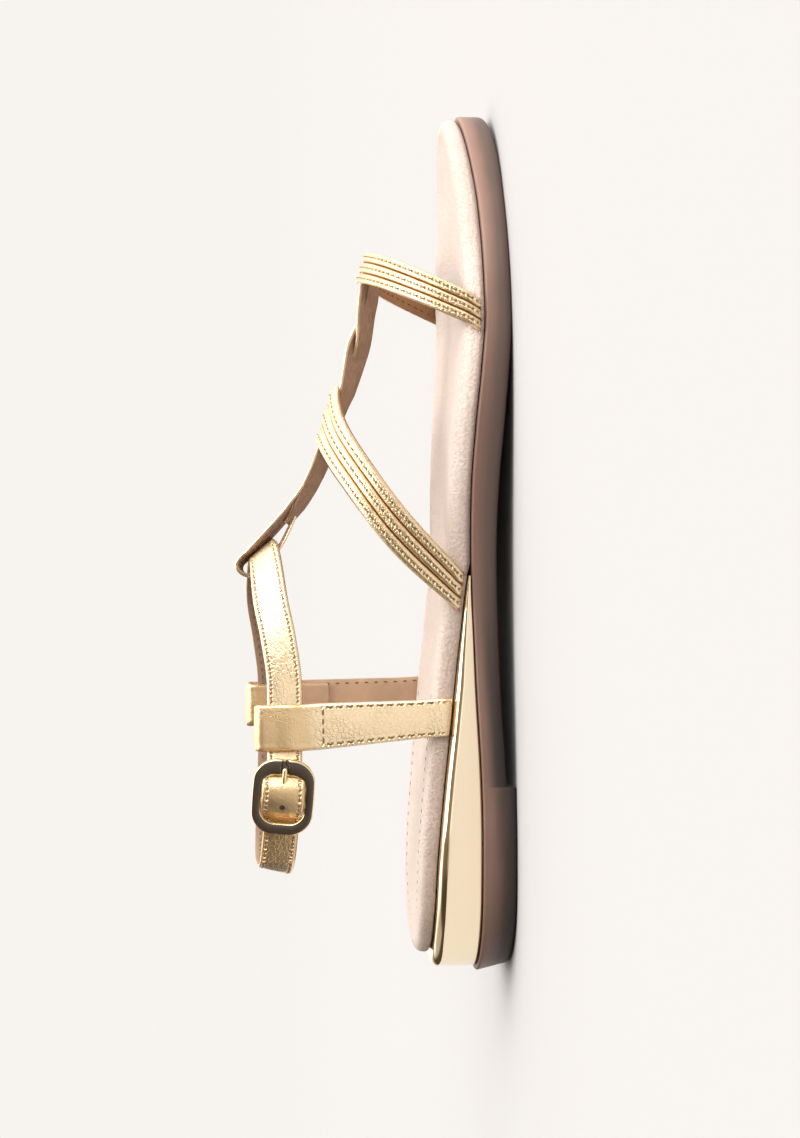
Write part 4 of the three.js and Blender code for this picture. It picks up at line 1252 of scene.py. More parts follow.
def smooth_curve(points, count):
    """Points at even steps on a centripetal Catmull-Rom curve through points."""
    ends = [points[0] * 2 - points[1], *points, points[-1] * 2 - points[-2]]
    steps = 12
    dense = []
    for p0, p1, p2, p3 in zip(ends, ends[1:], ends[2:], ends[3:]):
        gaps = [max((b - a).length ** 0.5, 1e-4) for a, b in ((p0, p1), (p1, p2), (p2, p3))]
        start = (p1 - p0) / gaps[0] - (p2 - p0) / (gaps[0] + gaps[1]) + (p2 - p1) / gaps[1]
        stop = (p2 - p1) / gaps[1] - (p3 - p1) / (gaps[1] + gaps[2]) + (p3 - p2) / gaps[2]
        start, stop = start * gaps[1], stop * gaps[1]
        for k in range(steps):
            t = k / steps
            dense.append(p1 * (2 * t ** 3 - 3 * t * t + 1) + start * (t ** 3 - 2 * t * t + t)
                         + p2 * (3 * t * t - 2 * t ** 3) + stop * (t ** 3 - t * t))
    dense.append(points[-1].copy())
    travelled = lengths(dense)
    even = []
    for k in range(count + 1):
        i, part = between(travelled, travelled[-1] * k / count)
        even.append(dense[i].lerp(dense[i + 1], part))
    return even


def smooth_stations(stations, count):
    """As many stations at even steps on smooth curves through the given ones."""
    path = [at for at, _, _ in stations]
    middles = smooth_curve(path, count)
    coarse = lengths(path)
    travelled = lengths(middles)
    scale = coarse[-1] / travelled[-1]
    made = []
    for middle, far in zip(middles, travelled):
        k, part = between(coarse, far * scale)
        (_, out, wide), (_, next_out, next_wide) = stations[k], stations[k + 1]
        part = clamp(part)
        made.append((middle, out.lerp(next_out, part).normalized(), wide.lerp(next_wide, part).normalized()))
    return true_outs(made)


def true_outs(stations):
    """Stations whose outward direction is square to the path and to the strap's width."""
    path = [at for at, _, _ in stations]
    made = []
    for k, (at, out, wide) in enumerate(stations):
        square = wide.cross(run_at(path, k))
        if square.length < 1e-3:
            square = out
        square = square.normalized()
        if square.dot(out) < 0:
            square.negate()
        made.append((at, square, wide))
    return made


def blank():
    """An empty mesh whose points each carry a lay for the materials: the place along the strap or the sole,
    the place across, and a third part that each kind of piece uses in its own way."""
    made = bmesh.new()
    made.verts.layers.float_vector.new("lay")
    return made


def grid(bm, columns, rows, place):
    """A grid of columns by rows points, each moved to its place and given its lay."""
    layer = bm.verts.layers.float_vector["lay"]
    made = bmesh.ops.create_grid(bm, x_segments=columns - 1, y_segments=rows - 1, size=0.5)["verts"]
    for vert in made:
        i = round((vert.co.x + 0.5) * (columns - 1))
        j = round((vert.co.y + 0.5) * (rows - 1))
        point, lay = place(i, j)
        vert.co = placed(point)
        vert[layer] = lay
    return made


def close_up(bm, fill=False):
    """Joins the meeting edges of grids, fills open ends and turns all faces out."""
    bmesh.ops.remove_doubles(bm, verts=bm.verts, dist=0.002 * MM)
    if fill:
        edges = [edge for edge in bm.edges if edge.is_boundary]
        bmesh.ops.holes_fill(bm, edges=edges, sides=0)
    bmesh.ops.recalc_face_normals(bm, faces=bm.faces)


def faces_of(verts):
    return {face for vert in verts for face in vert.link_faces}


def split_faces(bm, verts, least, above, under):
    """Gives each face one material where the third part of its points' lay reaches least, else another."""
    layer = bm.verts.layers.float_vector["lay"]
    for face in faces_of(verts):
        level = sum(vert[layer].z for vert in face.verts) / len(face.verts)
        face.material_index = above if level >= least else under


def add_object(name, data):
    made = bpy.data.objects.new(name, data)
    bpy.context.scene.collection.objects.link(made)
    return made


def mesh_object(bm, name, materials):
    """A bmesh as an object of the scene, with its materials."""
    mesh = bpy.data.meshes.new(name)
    bm.to_mesh(mesh)
    bm.free()
    for material in materials:
        mesh.materials.append(material)
    return add_object(name, mesh)


def piece(bm, name, materials, replaced=(), sharp=50):
    """The finished piece: smooth, with sharp folds kept, riding on the sandal's one body."""
    made = mesh_object(bm, name, materials)
    made.data.polygons.foreach_set("use_smooth", [True] * len(made.data.polygons))
    made.data.set_sharp_from_angle(angle=math.radians(sharp))
    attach(made, "root")
    if replaced:
        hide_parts(*replaced)
    return made


def mirrored(edge):
    """A section's right half, then its left half back to the start, as across, height and gold."""
    right = [(row["across"], row["height"], row["gold"]) for row in edge]
    return right + [(-across, height, gold) for across, height, gold in reversed(right) if across > 0]


def band_section():
    """A band's section: its raised cords, then round its edges and its lining."""
    outer = []
    for cord in range(BAND_CORDS):
        outer += [((cord + row["across"]) / BAND_CORDS - 0.5, row["height"], 1) for row in CORD]
    outer.append((0.5, CORD[0]["height"], 1))
    return outer + mirrored(BAND_EDGE)


def sweep(bm, strap, section, thick, gold_until=math.inf):
    """A closed strap along its rows, thinner where they are flat. Past gold_until it shows its lining all
    round."""
    wear = 0.05
    corners = section + section[:1]

    def place(i, j):
        across, height, shows = corners[j]
        flat = strap.flats[i]
        rise = lerp(height, min(height * 2, 1.0), flat) * lerp(thick, TUCK_THICK, flat)
        point, out = strap.in_row(i, across, rise)
        if height > 0.4:
            point += out * (wear * noise.noise(point * 0.35) + wear * 0.5 * noise.noise(point * 1.1))
        level = shows if strap.along[i] < gold_until else 0
        return point, Vector((strap.along[i], across * strap.width, level))

    split_faces(bm, grid(bm, len(strap.rows), len(corners), place), 0.5, 0, 1)


def strap_piece(name, strap, section, thick, materials, replaced, gold_until=math.inf):
    """A leather strap as one closed piece."""
    bm = blank()
    sweep(bm, strap, section, thick, gold_until)
    close_up(bm, fill=True)
    return piece(bm, name, materials, replaced)


def stitch_row(bm, strap, across, lift, start, stop, stitches, pitch, bold=1.0):
    """Stitches along a strap between two lengths, at a share of its width."""
    sunk = 0.45
    shown = stitches.shown / MM
    thread = stitches.thread / MM * bold
    first = math.ceil(start / pitch)
    last = math.floor(stop / pitch)
    for k in range(first, last + 1):
        along = k * pitch
        if along - shown / 2 < 0 or along + shown / 2 > strap.along[-1]:
            continue
        behind, _ = strap.at(along - shown / 2, across, lift)
        ahead, _ = strap.at(along + shown / 2, across, lift)
        middle, out = strap.at(along, across, lift + thread * (0.5 - sunk))
        stitch(bm, behind, ahead, middle, out, thread)


def cross_seam(bm, strap, along, lift, reach, thread):
    """Four stitches side by side across a strap, each as long as twice its reach, a share of the width."""
    for k in range(4):
        across = (k - 1.5) * 0.2
        behind, _ = strap.at(along, across - reach, lift)
        ahead, _ = strap.at(along, across + reach, lift)
        middle, out = strap.at(along, across, lift)
        stitch(bm, behind, ahead, middle, out, thread)


def stitch(bm, behind, ahead, middle, out, thread):
    """One stitch: a plump grain of thread."""
    run = ahead - behind
    side = run.cross(out).normalized()
    up = side.cross(run).normalized()
    axes = Matrix((run * MM, side * thread * MM, up * thread * MM * 0.8)).transposed().to_4x4()
    bmesh.ops.create_uvsphere(
        bm, u_segments=6, v_segments=4, radius=0.5,
        matrix=Matrix.Translation(placed(middle)) @ axes @ Matrix.Rotation(math.pi / 2, 4, "Y"))


def thread_piece(bm, name, tint):
    """Stitches as one piece."""
    piece(bm, name, [sewing_thread(name + "_thread", tint)], sharp=180)


def sole_places(marks=(), end=SOLE_LENGTH):
    """Places along the sole, closer together at its round ends, with the given marks."""
    room = 0.6
    regular = [(1 - math.cos(math.pi * i / SOLE_STEPS)) / 2 * SOLE_LENGTH for i in range(SOLE_STEPS + 1)]
    clear = [x for x in regular if all(abs(mark - x) > room for mark in marks)]
    return sorted(x for x in [*clear, *marks] if x <= end)


def sole_layer(bm, places, rings, dish=0.0, cover=14, floor_index=0):
    """A layer of the sole from rings stacked upwards, with its under side and its top.
    Each ring gives its inset and height at x, and its share of the wall."""
    loop = [(-1, x) for x in places] + [(1, x) for x in reversed(places)]
    loop.append(loop[0])

    def corner(ring, x, side):
        inset, height, _ = ring
        at, _ = edge_at(x, side, inset(x))
        return Vector((at.x, at.y, height(at.x)))

    def wall(i, j):
        side, x = loop[i]
        return corner(rings[j], x, side), Vector((x, 0, rings[j][2]))

    def sheet(ring, level, sink):
        edges = [(corner(ring, x, -1), corner(ring, x, 1)) for x in places]

        def place(i, j):
            outer, inner = edges[i]
            point = outer.lerp(inner, j / cover)
            point.z -= dip(sink, j / cover, (outer - inner).length)
            return point, Vector((places[i], 0, level))

        return grid(bm, len(places), cover + 1, place)

    grid(bm, len(loop), len(rings), wall)
    for face in faces_of(sheet(rings[0], 0.0, 0.0)):
        face.material_index = floor_index
    sheet(rings[-1], 1.0, dish)
    close_up(bm)


def insole_surface(x, y):
    """The height of the footbed's top, away from its pillow edge."""
    inset = insole_inset(x) + PILLOW[-1]["set_in"] * insole_thick(x)
    outer, inner = edge_at(x, -1, inset)[0].y, edge_at(x, 1, inset)[0].y
    part = clamp((y - outer) / (inner - outer))
    return insole_top(x) - dip(INSOLE_DISH, part, inner - outer)


def heel_draft(x):
    """How far the rubber's side leans in from its upper edge down to the ground, most behind the heel."""
    return RUBBER_LEAN + HEEL_LEAN * clamp(1 - x / HEEL_LEAN_END)


class SANDAL_OT_outsole(Operator):
    """Makes the moulded rubber sole with its heel, hollow waist and tread"""

    bl_idname = "sandal.outsole"
    bl_label = "Outsole"

    def execute(self, context):
        sole = context.scene.sandal_sole
        foot_steps = 6

        def foot(k):
            turn = math.pi / 2 * k / foot_steps
            inset = OUTSOLE_ROUND * (1 - math.sin(turn))
            rise = OUTSOLE_ROUND * (1 - math.cos(turn))
            return lambda x: inset + heel_draft(x), lambda x: outsole_under(x) + rise, 0.1 * k / foot_steps

        def wall(part):
            drop = RUBBER_LIP[0]["drop"]
            return (
                lambda x: heel_draft(x) * (1 - part),
                lambda x: lerp(outsole_under(x) + OUTSOLE_ROUND, outsole_top(x) - drop, part),
                part,
            )

        def lip(inset, drop):
            return lambda x: inset, lambda x: outsole_top(x) - drop, 1.0

        rings = [foot(k) for k in range(foot_steps + 1)]
        rings += [wall(part) for part in (0.25, 0.5, 0.75)]
        rings += [lip(**row) for row in RUBBER_LIP]
        bm = blank()
        sole_layer(bm, sole_places((HEEL_BREAST - 0.4, HEEL_BREAST, HEEL_BREAST + 0.4)), rings, floor_index=1)
        materials = [moulded_rubber(sole), tread_rubber(sole)]
        piece(bm, "rubber_outsole", materials, ["outsole"], sharp=35)
        return {"FINISHED"}


class SANDAL_OT_wedge(Operator):
    """Makes the wedge in its mirror film, with a rounded upper lip"""

    bl_idname = "sandal.wedge"
    bl_label = "Wedge"

    def execute(self, context):
        sole = context.scene.sandal_sole

        def floor(x):
            return outsole_top(x) + SEAM

        def lip(x):
            return min(WEDGE_BEVEL, wedge_thick(x) * 0.45)

        def round_off(k):
            turn = math.pi / 2 * k / lip_steps
            return (
                lambda x: WEDGE_SETBACK + lip(x) * (1 - math.cos(turn)),
                lambda x: floor(x) + wedge_thick(x) - lip(x) * (1 - math.sin(turn)),
                0.9 + 0.1 * k / lip_steps,
            )

        lip_steps = 8
        rings = [
            (lambda x: WEDGE_SETBACK + 0.3, floor, 0.0),
            (lambda x: WEDGE_SETBACK + 0.06, lambda x: floor(x) + wedge_thick(x) * 0.03, 0.02),
            (lambda x: WEDGE_SETBACK, lambda x: floor(x) + wedge_thick(x) * 0.08, 0.06),
            (lambda x: WEDGE_SETBACK, lambda x: floor(x) + (wedge_thick(x) - lip(x)) * 0.6, 0.5),
        ]
        rings += [round_off(k) for k in range(lip_steps + 1)]
        bm = blank()
        sole_layer(bm, sole_places((WEDGE_LENGTH,), WEDGE_LENGTH), rings)
        piece(bm, "mirror_wedge", [mirror_film(sole)], ["wedge"], sharp=60)
        return {"FINISHED"}


class SANDAL_OT_insole(Operator):
    """Makes the padded suede footbed with its pillow edge and the seam of its heel pad"""

    bl_idname = "sandal.insole"
    bl_label = "Footbed"

    def execute(self, context):
        sole = context.scene.sandal_sole
        stitches = context.scene.sandal_stitches
        steps = 18

        def pillow(up):
            set_in = follow(PILLOW, "set_in", up)
            return (
                lambda x: insole_inset(x) + set_in * insole_thick(x),
                lambda x: insole_under(x) + up * insole_thick(x),
                up,
            )

        rings = [pillow((1 - math.cos(math.pi * k / steps)) / 2) for k in range(steps + 1)]
        marks = WEDGE_LENGTH + SEAM, WEDGE_LENGTH + SEAM + WEDGE_RUN_OUT
        bm = blank()
        sole_layer(bm, sole_places(marks), rings, INSOLE_DISH, cover=22)
        footbed = piece(bm, "suede_footbed", [suede(sole)], ["insole"], sharp=60)

        seam = sole.heel_seam / MM
        count = 60
        rows = []
        for k in range(-count, count + 1):
            side = -1 if k < 0 else 1
            x = HEEL_PAD_REACH * (k / count) * (k / count)
            at, _ = edge_at(x, side, insole_inset(x) + seam)
            point = Vector((at.x, at.y, insole_surface(at.x, at.y)))
            rows.append([(point + Vector((0, across * 0.12, 0)), UP) for across in Strap.SHARES])
        line = Strap(rows, 1)
        bm = blank()
        stitch_row(bm, line, 0, 0, 0, line.along[-1], stitches, HEEL_PAD_PITCH)
        thread_piece(bm, "heel_pad_seam", times(sole.suede_shade, 0.75))
        return {"FINISHED"}


def band_strap(band, width):
    """The rows of a band from its tuck on the outer side over the foot to the inner one."""
    start = band["rows"][0]
    rows = []
    flats = []

    def add(x, spread, surface, flat):
        rows.append([surface(x + across * spread * width) for across in Strap.SHARES])
        flats.append(clamp(flat))

    def hem_row(side, part):
        lead = MEDIAL_LEAD if side > 0 else 0
        down = min(part, 1)
        x = lerp(start["along"], band["foot"]["along"], down) * SOLE_LENGTH + lead
        spread = lerp(start["spread"], band["foot"]["spread"], down)
        add(x, spread, lambda at: hem(at, side, part), part - 0.9)

    for part in HEM_PARTS:
        hem_row(-1, part)
    for k in range(BAND_ARCH_STEPS + 1):
        degrees = 180 * k / BAND_ARCH_STEPS
        turn = 1 - abs(degrees - 90) / 90
        lead = MEDIAL_LEAD * math.cos(math.radians(180 - degrees)) if degrees > 90 else 0
        x = follow(band["rows"], "along", turn) * SOLE_LENGTH + lead
        spread = follow(band["rows"], "spread", turn)
        add(x, spread, lambda at: arch(at, degrees), 0)
    for part in reversed(HEM_PARTS):
        hem_row(1, part)
    return Strap(rows, width, flats).softened(BAND_STEP, BAND_PASSES, BAND_CLEAR, BAND_MORE_PASSES)


class SANDAL_OT_bands(Operator):
    """Makes the corded bands over the toes and the instep, with a seam on each cord"""

    bl_idname = "sandal.bands"
    bl_label = "Bands"

    def execute(self, context):
        straps = context.scene.sandal_straps
        stitches = context.scene.sandal_stitches
        thick = straps.band_thick / MM
        pitch = stitches.pitch / MM
        # Lining with painted shade and a painted warm bounce from the gold.
        lining = lining_leather("band_lining_painted_shade", straps.band_lining_painted_shade)
        cords = [(cord + 0.5) / BAND_CORDS - 0.5 for cord in range(BAND_CORDS)]
        grooves = [cord / BAND_CORDS - 0.5 for cord in range(1, BAND_CORDS)]
        for name, band, width in (
            ("toe_band", TOE_BAND, straps.toe_width / MM),
            ("instep_band", INSTEP_BAND, straps.instep_width / MM),
        ):
            strap = band_strap(band, width)
            leather = gold_leather(name + "_leather", straps, pitch, [cord * width for cord in cords],
                                   [groove * width for groove in grooves])
            made = strap_piece(name, strap, band_section(), thick, [leather, lining], ["upper"])
            keep_light_off(made, "toe_side")

            bm = blank()
            seams = [(cord, thick * 0.95) for cord in cords]
            seams += [(inside, -0.12) for inside in (cords[0] * 0.92, -cords[0] * 0.92)]
            stop = strap.along[-1] - SEAM_FROM_TUCK
            for across, lift in seams:
                stitch_row(bm, strap, across, lift, SEAM_FROM_TUCK, stop, stitches, pitch)
            thread_piece(bm, name + "_seams", stitches.colour)
        return {"FINISHED"}


def strip_strap(rows, width, thick):
    """One strip of the T-bar through a table's rows."""
    first, last = rows[0]["along"], rows[-1]["along"]

    def at(along):
        x = along * SOLE_LENGTH
        return Vector((x, follow(rows, "across", along) * BRAID_WIDTH,
                       ridge(x) - follow(rows, "sink", along) * BRAID_WIDTH))

    stations = []
    small = 0.002
    for k in range(STRIP_STEPS + 1):
        along = lerp(first, last, k / STRIP_STEPS)
        run = (at(along + small) - at(along - small)).normalized()
        level = (UP - run * run.z).normalized()
        out = Matrix.Rotation(math.radians(-follow(rows, "lean", along)), 3, run) @ level
        stations.append((at(along), out, run.cross(out).normalized()))
    return Strap.through(stations, width, thick, lambda k: lerp(BRAID_TIP, 1, clamp(k / BRAID_TIP_STEPS)))


def loop_strap(ankle_width):
    """The T-bar's end: up from the strip it is sewn to, over the ankle strap and back under itself."""
    at, out, up = ankle_place(0)
    room = ANKLE_THICK / 2 + SEAM + LOOP_PLY / 2
    meet = BRAID["back"][1]  # the fold is sewn on near the upper end of the strip that runs back to it
    x = meet["along"] * SOLE_LENGTH
    middle = Vector((x, 0, ridge(x) - meet["sink"] * BRAID_WIDTH))
    slope = (ridge(x + 1) - ridge(x - 1)) / 2
    run = Vector((1, 0, slope)).normalized()
    above = Vector((-slope, 0, 1)).normalized()

    def beside(rows):
        return [middle - run * row["away"] + above * (row["lift"] * LOOP_PLY) for row in rows]

    points = beside(LOOP_START)
    points += [at + up * (row["up"] * ankle_width) + out * (row["out"] * room) for row in LOOP]
    points += beside(LOOP_RETURN)
    curve = smooth_curve(points, LOOP_STEPS)
    full_lean = math.tan(math.radians(LOOP_LEAN))
    stations = []
    for k, point in enumerate(curve):
        ahead = run_at(curve, k)
        outgoing = clamp((LOOP_LEVEL_AT - k / len(curve)) / LOOP_LEVEL_SPAN)
        lean = lerp(LOOP_TIP_LEAN, full_lean, clamp(k / LOOP_TIP_LEAN_STEPS)) * outgoing
        wide = (Vector((0, 1, 0)) - (UP - ahead * ahead.z) * lean).normalized()
        stations.append((point, wide.cross(ahead).normalized(), wide))

    def scale(k):
        start = lerp(BRAID_TIP, 1, clamp(k / LOOP_TIP_STEPS))
        return start * lerp(1, LOOP_END, clamp((k - LOOP_END_FROM) / LOOP_END_STEPS))

    return Strap.through(stations, LOOP_WIDTH, LOOP_PLY, scale)


class SANDAL_OT_t_bar(Operator):
    """Makes the braided T-bar and its fold round the ankle strap"""

    bl_idname = "sandal.t_bar"
    bl_label = "T-bar"

    def execute(self, context):
        straps = context.scene.sandal_straps
        thick = straps.braid_thick / MM
        section = mirrored(STRAP_EDGE)
        materials = [gold_leather("t_bar_leather", straps), raw_edges("t_bar_edges", straps.edge)]
        bm = blank()
        for rows in BRAID.values():
            sweep(bm, strip_strap(rows, BRAID_WIDTH, thick), section, thick)
        close_up(bm, fill=True)
        piece(bm, "t_bar", materials, ["upper"])
        loop = loop_strap(straps.ankle_width / MM)
        strap_piece("t_bar_loop", loop, section, LOOP_PLY, materials, ["upper"])
        return {"FINISHED"}


def side_taper(height):
    """A side strap is narrower at its foot than where it folds over the ankle strap."""
    return lerp(SIDE_FOOT_SCALE, SIDE_FOLD_SCALE, clamp((height - SIDE_TAPER_FROM) / SIDE_TAPER_RISE))


def quarter_strap(side, ankle_width):
    """A side strap: tucked under the footbed, up outside it, over the ankle strap and down inside."""
    lead = MEDIAL_LEAD if side > 0 else 0
    foot_x = QUARTER_PLACE + lead
    fall = (insole_under(foot_x + 1) - insole_under(foot_x - 1)) / 2
    stations = []
    for part in SIDE_HEM_PARTS:
        at, out = hem(foot_x, side, part)
        thick = TUCK_THICK if part > 1 else QUARTER_THICK
        wide = UP.cross(wall_at(foot_x, side)[1])
        wide.z = fall * wide.x * min(part, 1)
        stations.append((at + out * (thick / 2), out, wide))
    base = stations[-1]
    top_x = foot_x - SIDE_LEAN_BACK
    angle = ankle_angle(top_x) if side < 0 else 360 - ankle_angle(top_x)
    at, out, up = ankle_place(angle)
    wide = up.cross(out)
    room = ANKLE_THICK / 2 + SEAM + QUARTER_THICK / 2
    top_edge = ankle_width / 2 + QUARTER_SLACK

    def near(rise, away, facing):
        return at + up * rise + out * away, facing, wide

    outer_end = near(-ankle_width / 2, room, out)
    for part in (0.2, 0.4, 0.6, 0.8):
        stations.append((
            base[0].lerp(outer_end[0], part),
            base[1].lerp(out, part).normalized(),
            base[2].lerp(wide, part),
        ))
    lower = stations[-2][1]
    stations.append(outer_end)
    stations.append(near(-ankle_width * 0.2, room + 0.35, out))
    stations.append(near(ankle_width * 0.2, room + 0.15, out))
    for k in range(9):
        turn = math.pi * k / 8
        facing = out * math.cos(turn) + up * math.sin(turn)
        stations.append(near(top_edge + QUARTER_THICK / 2 + (math.sin(turn) - 1) * room,
                             math.cos(turn) * room, facing))
    folded = len(stations)
    inward = out * -1
    stations.append(near(0, -room, inward))
    start = near(-ankle_width / 2 - 1, -room, inward)[0]
    end = near(-ankle_width / 2 - QUARTER_SEWN, 0, inward)[0]
    end.y = lerp(base[0].y, outer_end[0].y, (end.z - base[0].z) / (outer_end[0].z - base[0].z))
    end -= out * (QUARTER_THICK * 0.9)
    for part in (0, 0.5, 1):
        stations.append((start.lerp(end, part), lower * -1, wide))
    return stations, folded


class SANDAL_OT_side_straps(Operator):
    """Makes the two side straps, folded over the ankle strap and sewn back on themselves"""

    bl_idname = "sandal.side_straps"
    bl_label = "Side straps"

    def execute(self, context):
        straps = context.scene.sandal_straps
        stitches = context.scene.sandal_stitches
        width = straps.side_width / MM
        line = width / 2 - stitches.margin / MM
        pitch = stitches.pitch / MM * SIDE_PITCH
        thread = stitches.thread / MM
        lining = lining_leather("side_strap_lining", straps.lining)
        for side, name in ((-1, "lateral"), (1, "medial")):
            stations, folded = quarter_strap(side, straps.ankle_width / MM)
            fold_end = lengths([at for at, _, _ in stations[:folded]])[-1]
            stations = smooth_stations(stations, SIDE_STRAP_STEPS)

            def scale(k):
                at, out, _ = stations[k]
                return side_taper(at.z) * (1 - INNER_PLY_NARROWER * clamp(-side * out.y))

            strap = Strap.through(stations, width, QUARTER_THICK, scale)
            top = fold_end - 2 * straps.ankle_width / MM - QUARTER_SEWN + BOX_RISE
            # Painted shade darkens the gold above the box seam, over the fold.
            leather = gold_leather("side_strap_leather_" + name, straps, pitch, (-line, line), until=top,
                                   work=0.5, painted_shade_span=(top, top + SIDE_PAINTED_SHADE_RISE, SIDE_PAINTED_SHADE))
            strap_piece("side_strap_" + name, strap, mirrored(STRAP_EDGE), QUARTER_THICK, [leather, lining],
                        ["quarter_strap_" + name], gold_until=fold_end + 1)

            bm = blank()
            for across in (-line / width, line / width):
                for lift, bold in ((QUARTER_THICK * 0.97, SIDE_BOLD), (INSIDE, 1.0)):
                    stitch_row(bm, strap, across, lift, SEAM_FROM_TUCK, top, stitches, pitch, bold)
            for lift in (QUARTER_THICK, INSIDE):
                cross_seam(bm, strap, top, lift, BOX_REACH, thread * BOX_BOLD)
            thread_piece(bm, "side_strap_seams_" + name, stitches.colour)
        return {"FINISHED"}


def window_swell(at, k):
    """The strap spreads a little where it is pressed through the buckle's window."""
    if k > PASS_STEPS:
        return 1.0
    away = abs(at.x - BUCKLE_PLACE - PASS_SWELL_AHEAD)
    return 1 + PASS_SWELL * (1 - clamp((away - PASS_SWELL_HALF) / PASS_SWELL_FADE))


def ankle_stations():
    """The ankle strap from its tail through the buckle and round the heel to the middle bar."""
    slots = []
    first, last = BUCKLE_PASS[0]["place"], BUCKLE_PASS[-1]["place"]
    for k in range(PASS_STEPS + 1):
        place = lerp(first, last, k / PASS_STEPS)
        slots.append((ankle_angle(BUCKLE_PLACE + place * BUCKLE_LENGTH),
                      follow(BUCKLE_PASS, "out", place) * PASS_OUT))
    start = ankle_angle(BUCKLE_PLACE + BUCKLE_LENGTH * RING_START)
    finish = ankle_angle(BUCKLE_PLACE - EYE_RADIUS) - 360
    slots += [(lerp(start, finish, k / RING_STEPS), 0.0) for k in range(RING_STEPS + 1)]
    places = [ankle_place(angle, out) for angle, out in slots]
    path = [at for at, _, _ in places]
    return true_outs([(at, out, run_at(path, k).cross(out).normalized())
                      for k, (at, out, _) in enumerate(places)])


class SANDAL_OT_ankle_strap(Operator):
    """Makes the ankle strap with its seams, its slanted tail, its punched holes shown as discs of painted
    shade, and its eye
    """

    bl_idname = "sandal.ankle_strap"
    bl_label = "Ankle strap"

    def execute(self, context):
        straps = context.scene.sandal_straps
        stitches = context.scene.sandal_stitches
        width = straps.ankle_width / MM
        line = width / 2 - stitches.margin / MM
        pitch = stitches.pitch / MM
        # Painted shade darkens the gold towards the tail.
        leather = gold_leather("ankle_strap_leather", straps, pitch, (-line, line), work=0.75,
                               painted_shade_span=ANKLE_PAINTED_SHADE)
        lining = lining_leather("ankle_strap_lining", straps.edge)
        stations = ankle_stations()
        strap = Strap.through(stations, width, ANKLE_THICK, lambda k: window_swell(stations[k][0], k))
        run = run_at([row[Strap.MIDDLE][0] for row in strap.rows], 0)
        for k, row in enumerate(strap.rows):
            fade = clamp(1 - strap.along[k] / TAIL_SLANT_END)
            strap.rows[k] = [(point + run * (TAIL_SLANT * fade * across), out)
                             for (point, out), across in zip(row, Strap.SHARES)]
        bm = blank()
        sweep(bm, strap, mirrored(STRAP_EDGE), ANKLE_THICK)
        close_up(bm, fill=True)
        buckle_at = buckle_frame()
        gap = PRONG_RADIUS + SEAM
        reach = width / 2 - gap - 0.4
        for side in (-1, 1):
            tube(bm, buckle_at, EYE_RADIUS, BAR_RADIUS + SEAM, reach, side * (gap + reach / 2))
        piece(bm, "ankle_strap_leather", [leather, lining], ["ankle_strap"])

        bm = blank()
        for across in (-line / width, line / width):
            for lift in (ANKLE_THICK * 0.955, INSIDE):
                stitch_row(bm, strap, across, lift, 1.5, strap.along[-1] - 2, stitches, pitch)
        cross_seam(bm, strap, TAIL_SEAM, ANKLE_THICK, TAIL_SEAM_REACH, stitches.thread / MM)
        thread_piece(bm, "ankle_strap_seams", times(stitches.colour, 1.5))

        # The punched holes are discs of painted shade.
        bm = blank()
        for hole_x in (PRONG_HOLE, PRONG_HOLE - HOLE_PITCH, PRONG_HOLE - 2 * HOLE_PITCH):
            k = min(range(PASS_STEPS + 1), key=lambda i: abs(strap.rows[i][Strap.MIDDLE][0].x - hole_x))
            hole_shade_disc(bm, strap, strap.along[k])
        piece(bm, "ankle_strap_holes", [painted_hole_shade()], sharp=40)
        return {"FINISHED"}


def hole_shade_disc(bm, strap, along):
    """A disc of painted shade in a punched hole, just proud of the leather."""
    lift = ANKLE_THICK * HOLE_PROUD
    middle, out = strap.at(along, 0, lift)
    ahead, _ = strap.at(along + 0.5, 0, lift)
    run = (ahead - middle).normalized()
    side = out.cross(run).normalized()
    axes = Matrix((run, side, out)).transposed().to_4x4()
    bmesh.ops.create_cone(
        bm, cap_ends=True, segments=20, radius1=HOLE_RADIUS * MM, radius2=HOLE_RADIUS * 0.9 * MM,
        depth=0.1 * MM,
        matrix=Matrix.Translation(placed(middle)) @ axes)


def tube(bm, buckle_at, outer, inner, reach, middle):
    """A short pipe of leather round the buckle's middle bar."""

    def place(i, j):
        turn = 2 * math.pi * i / TUBE_STEPS
        radius = (inner, outer, outer, inner, inner)[j]
        side = (-0.5, -0.5, 0.5, 0.5, -0.5)[j] * reach
        point = Vector((radius * math.cos(turn), middle + side, BAR_OUT + radius * math.sin(turn)))
        return buckle_at @ point, Vector((turn * outer, side, 1))

    grid(bm, TUBE_STEPS + 1, 5, place)
    close_up(bm)


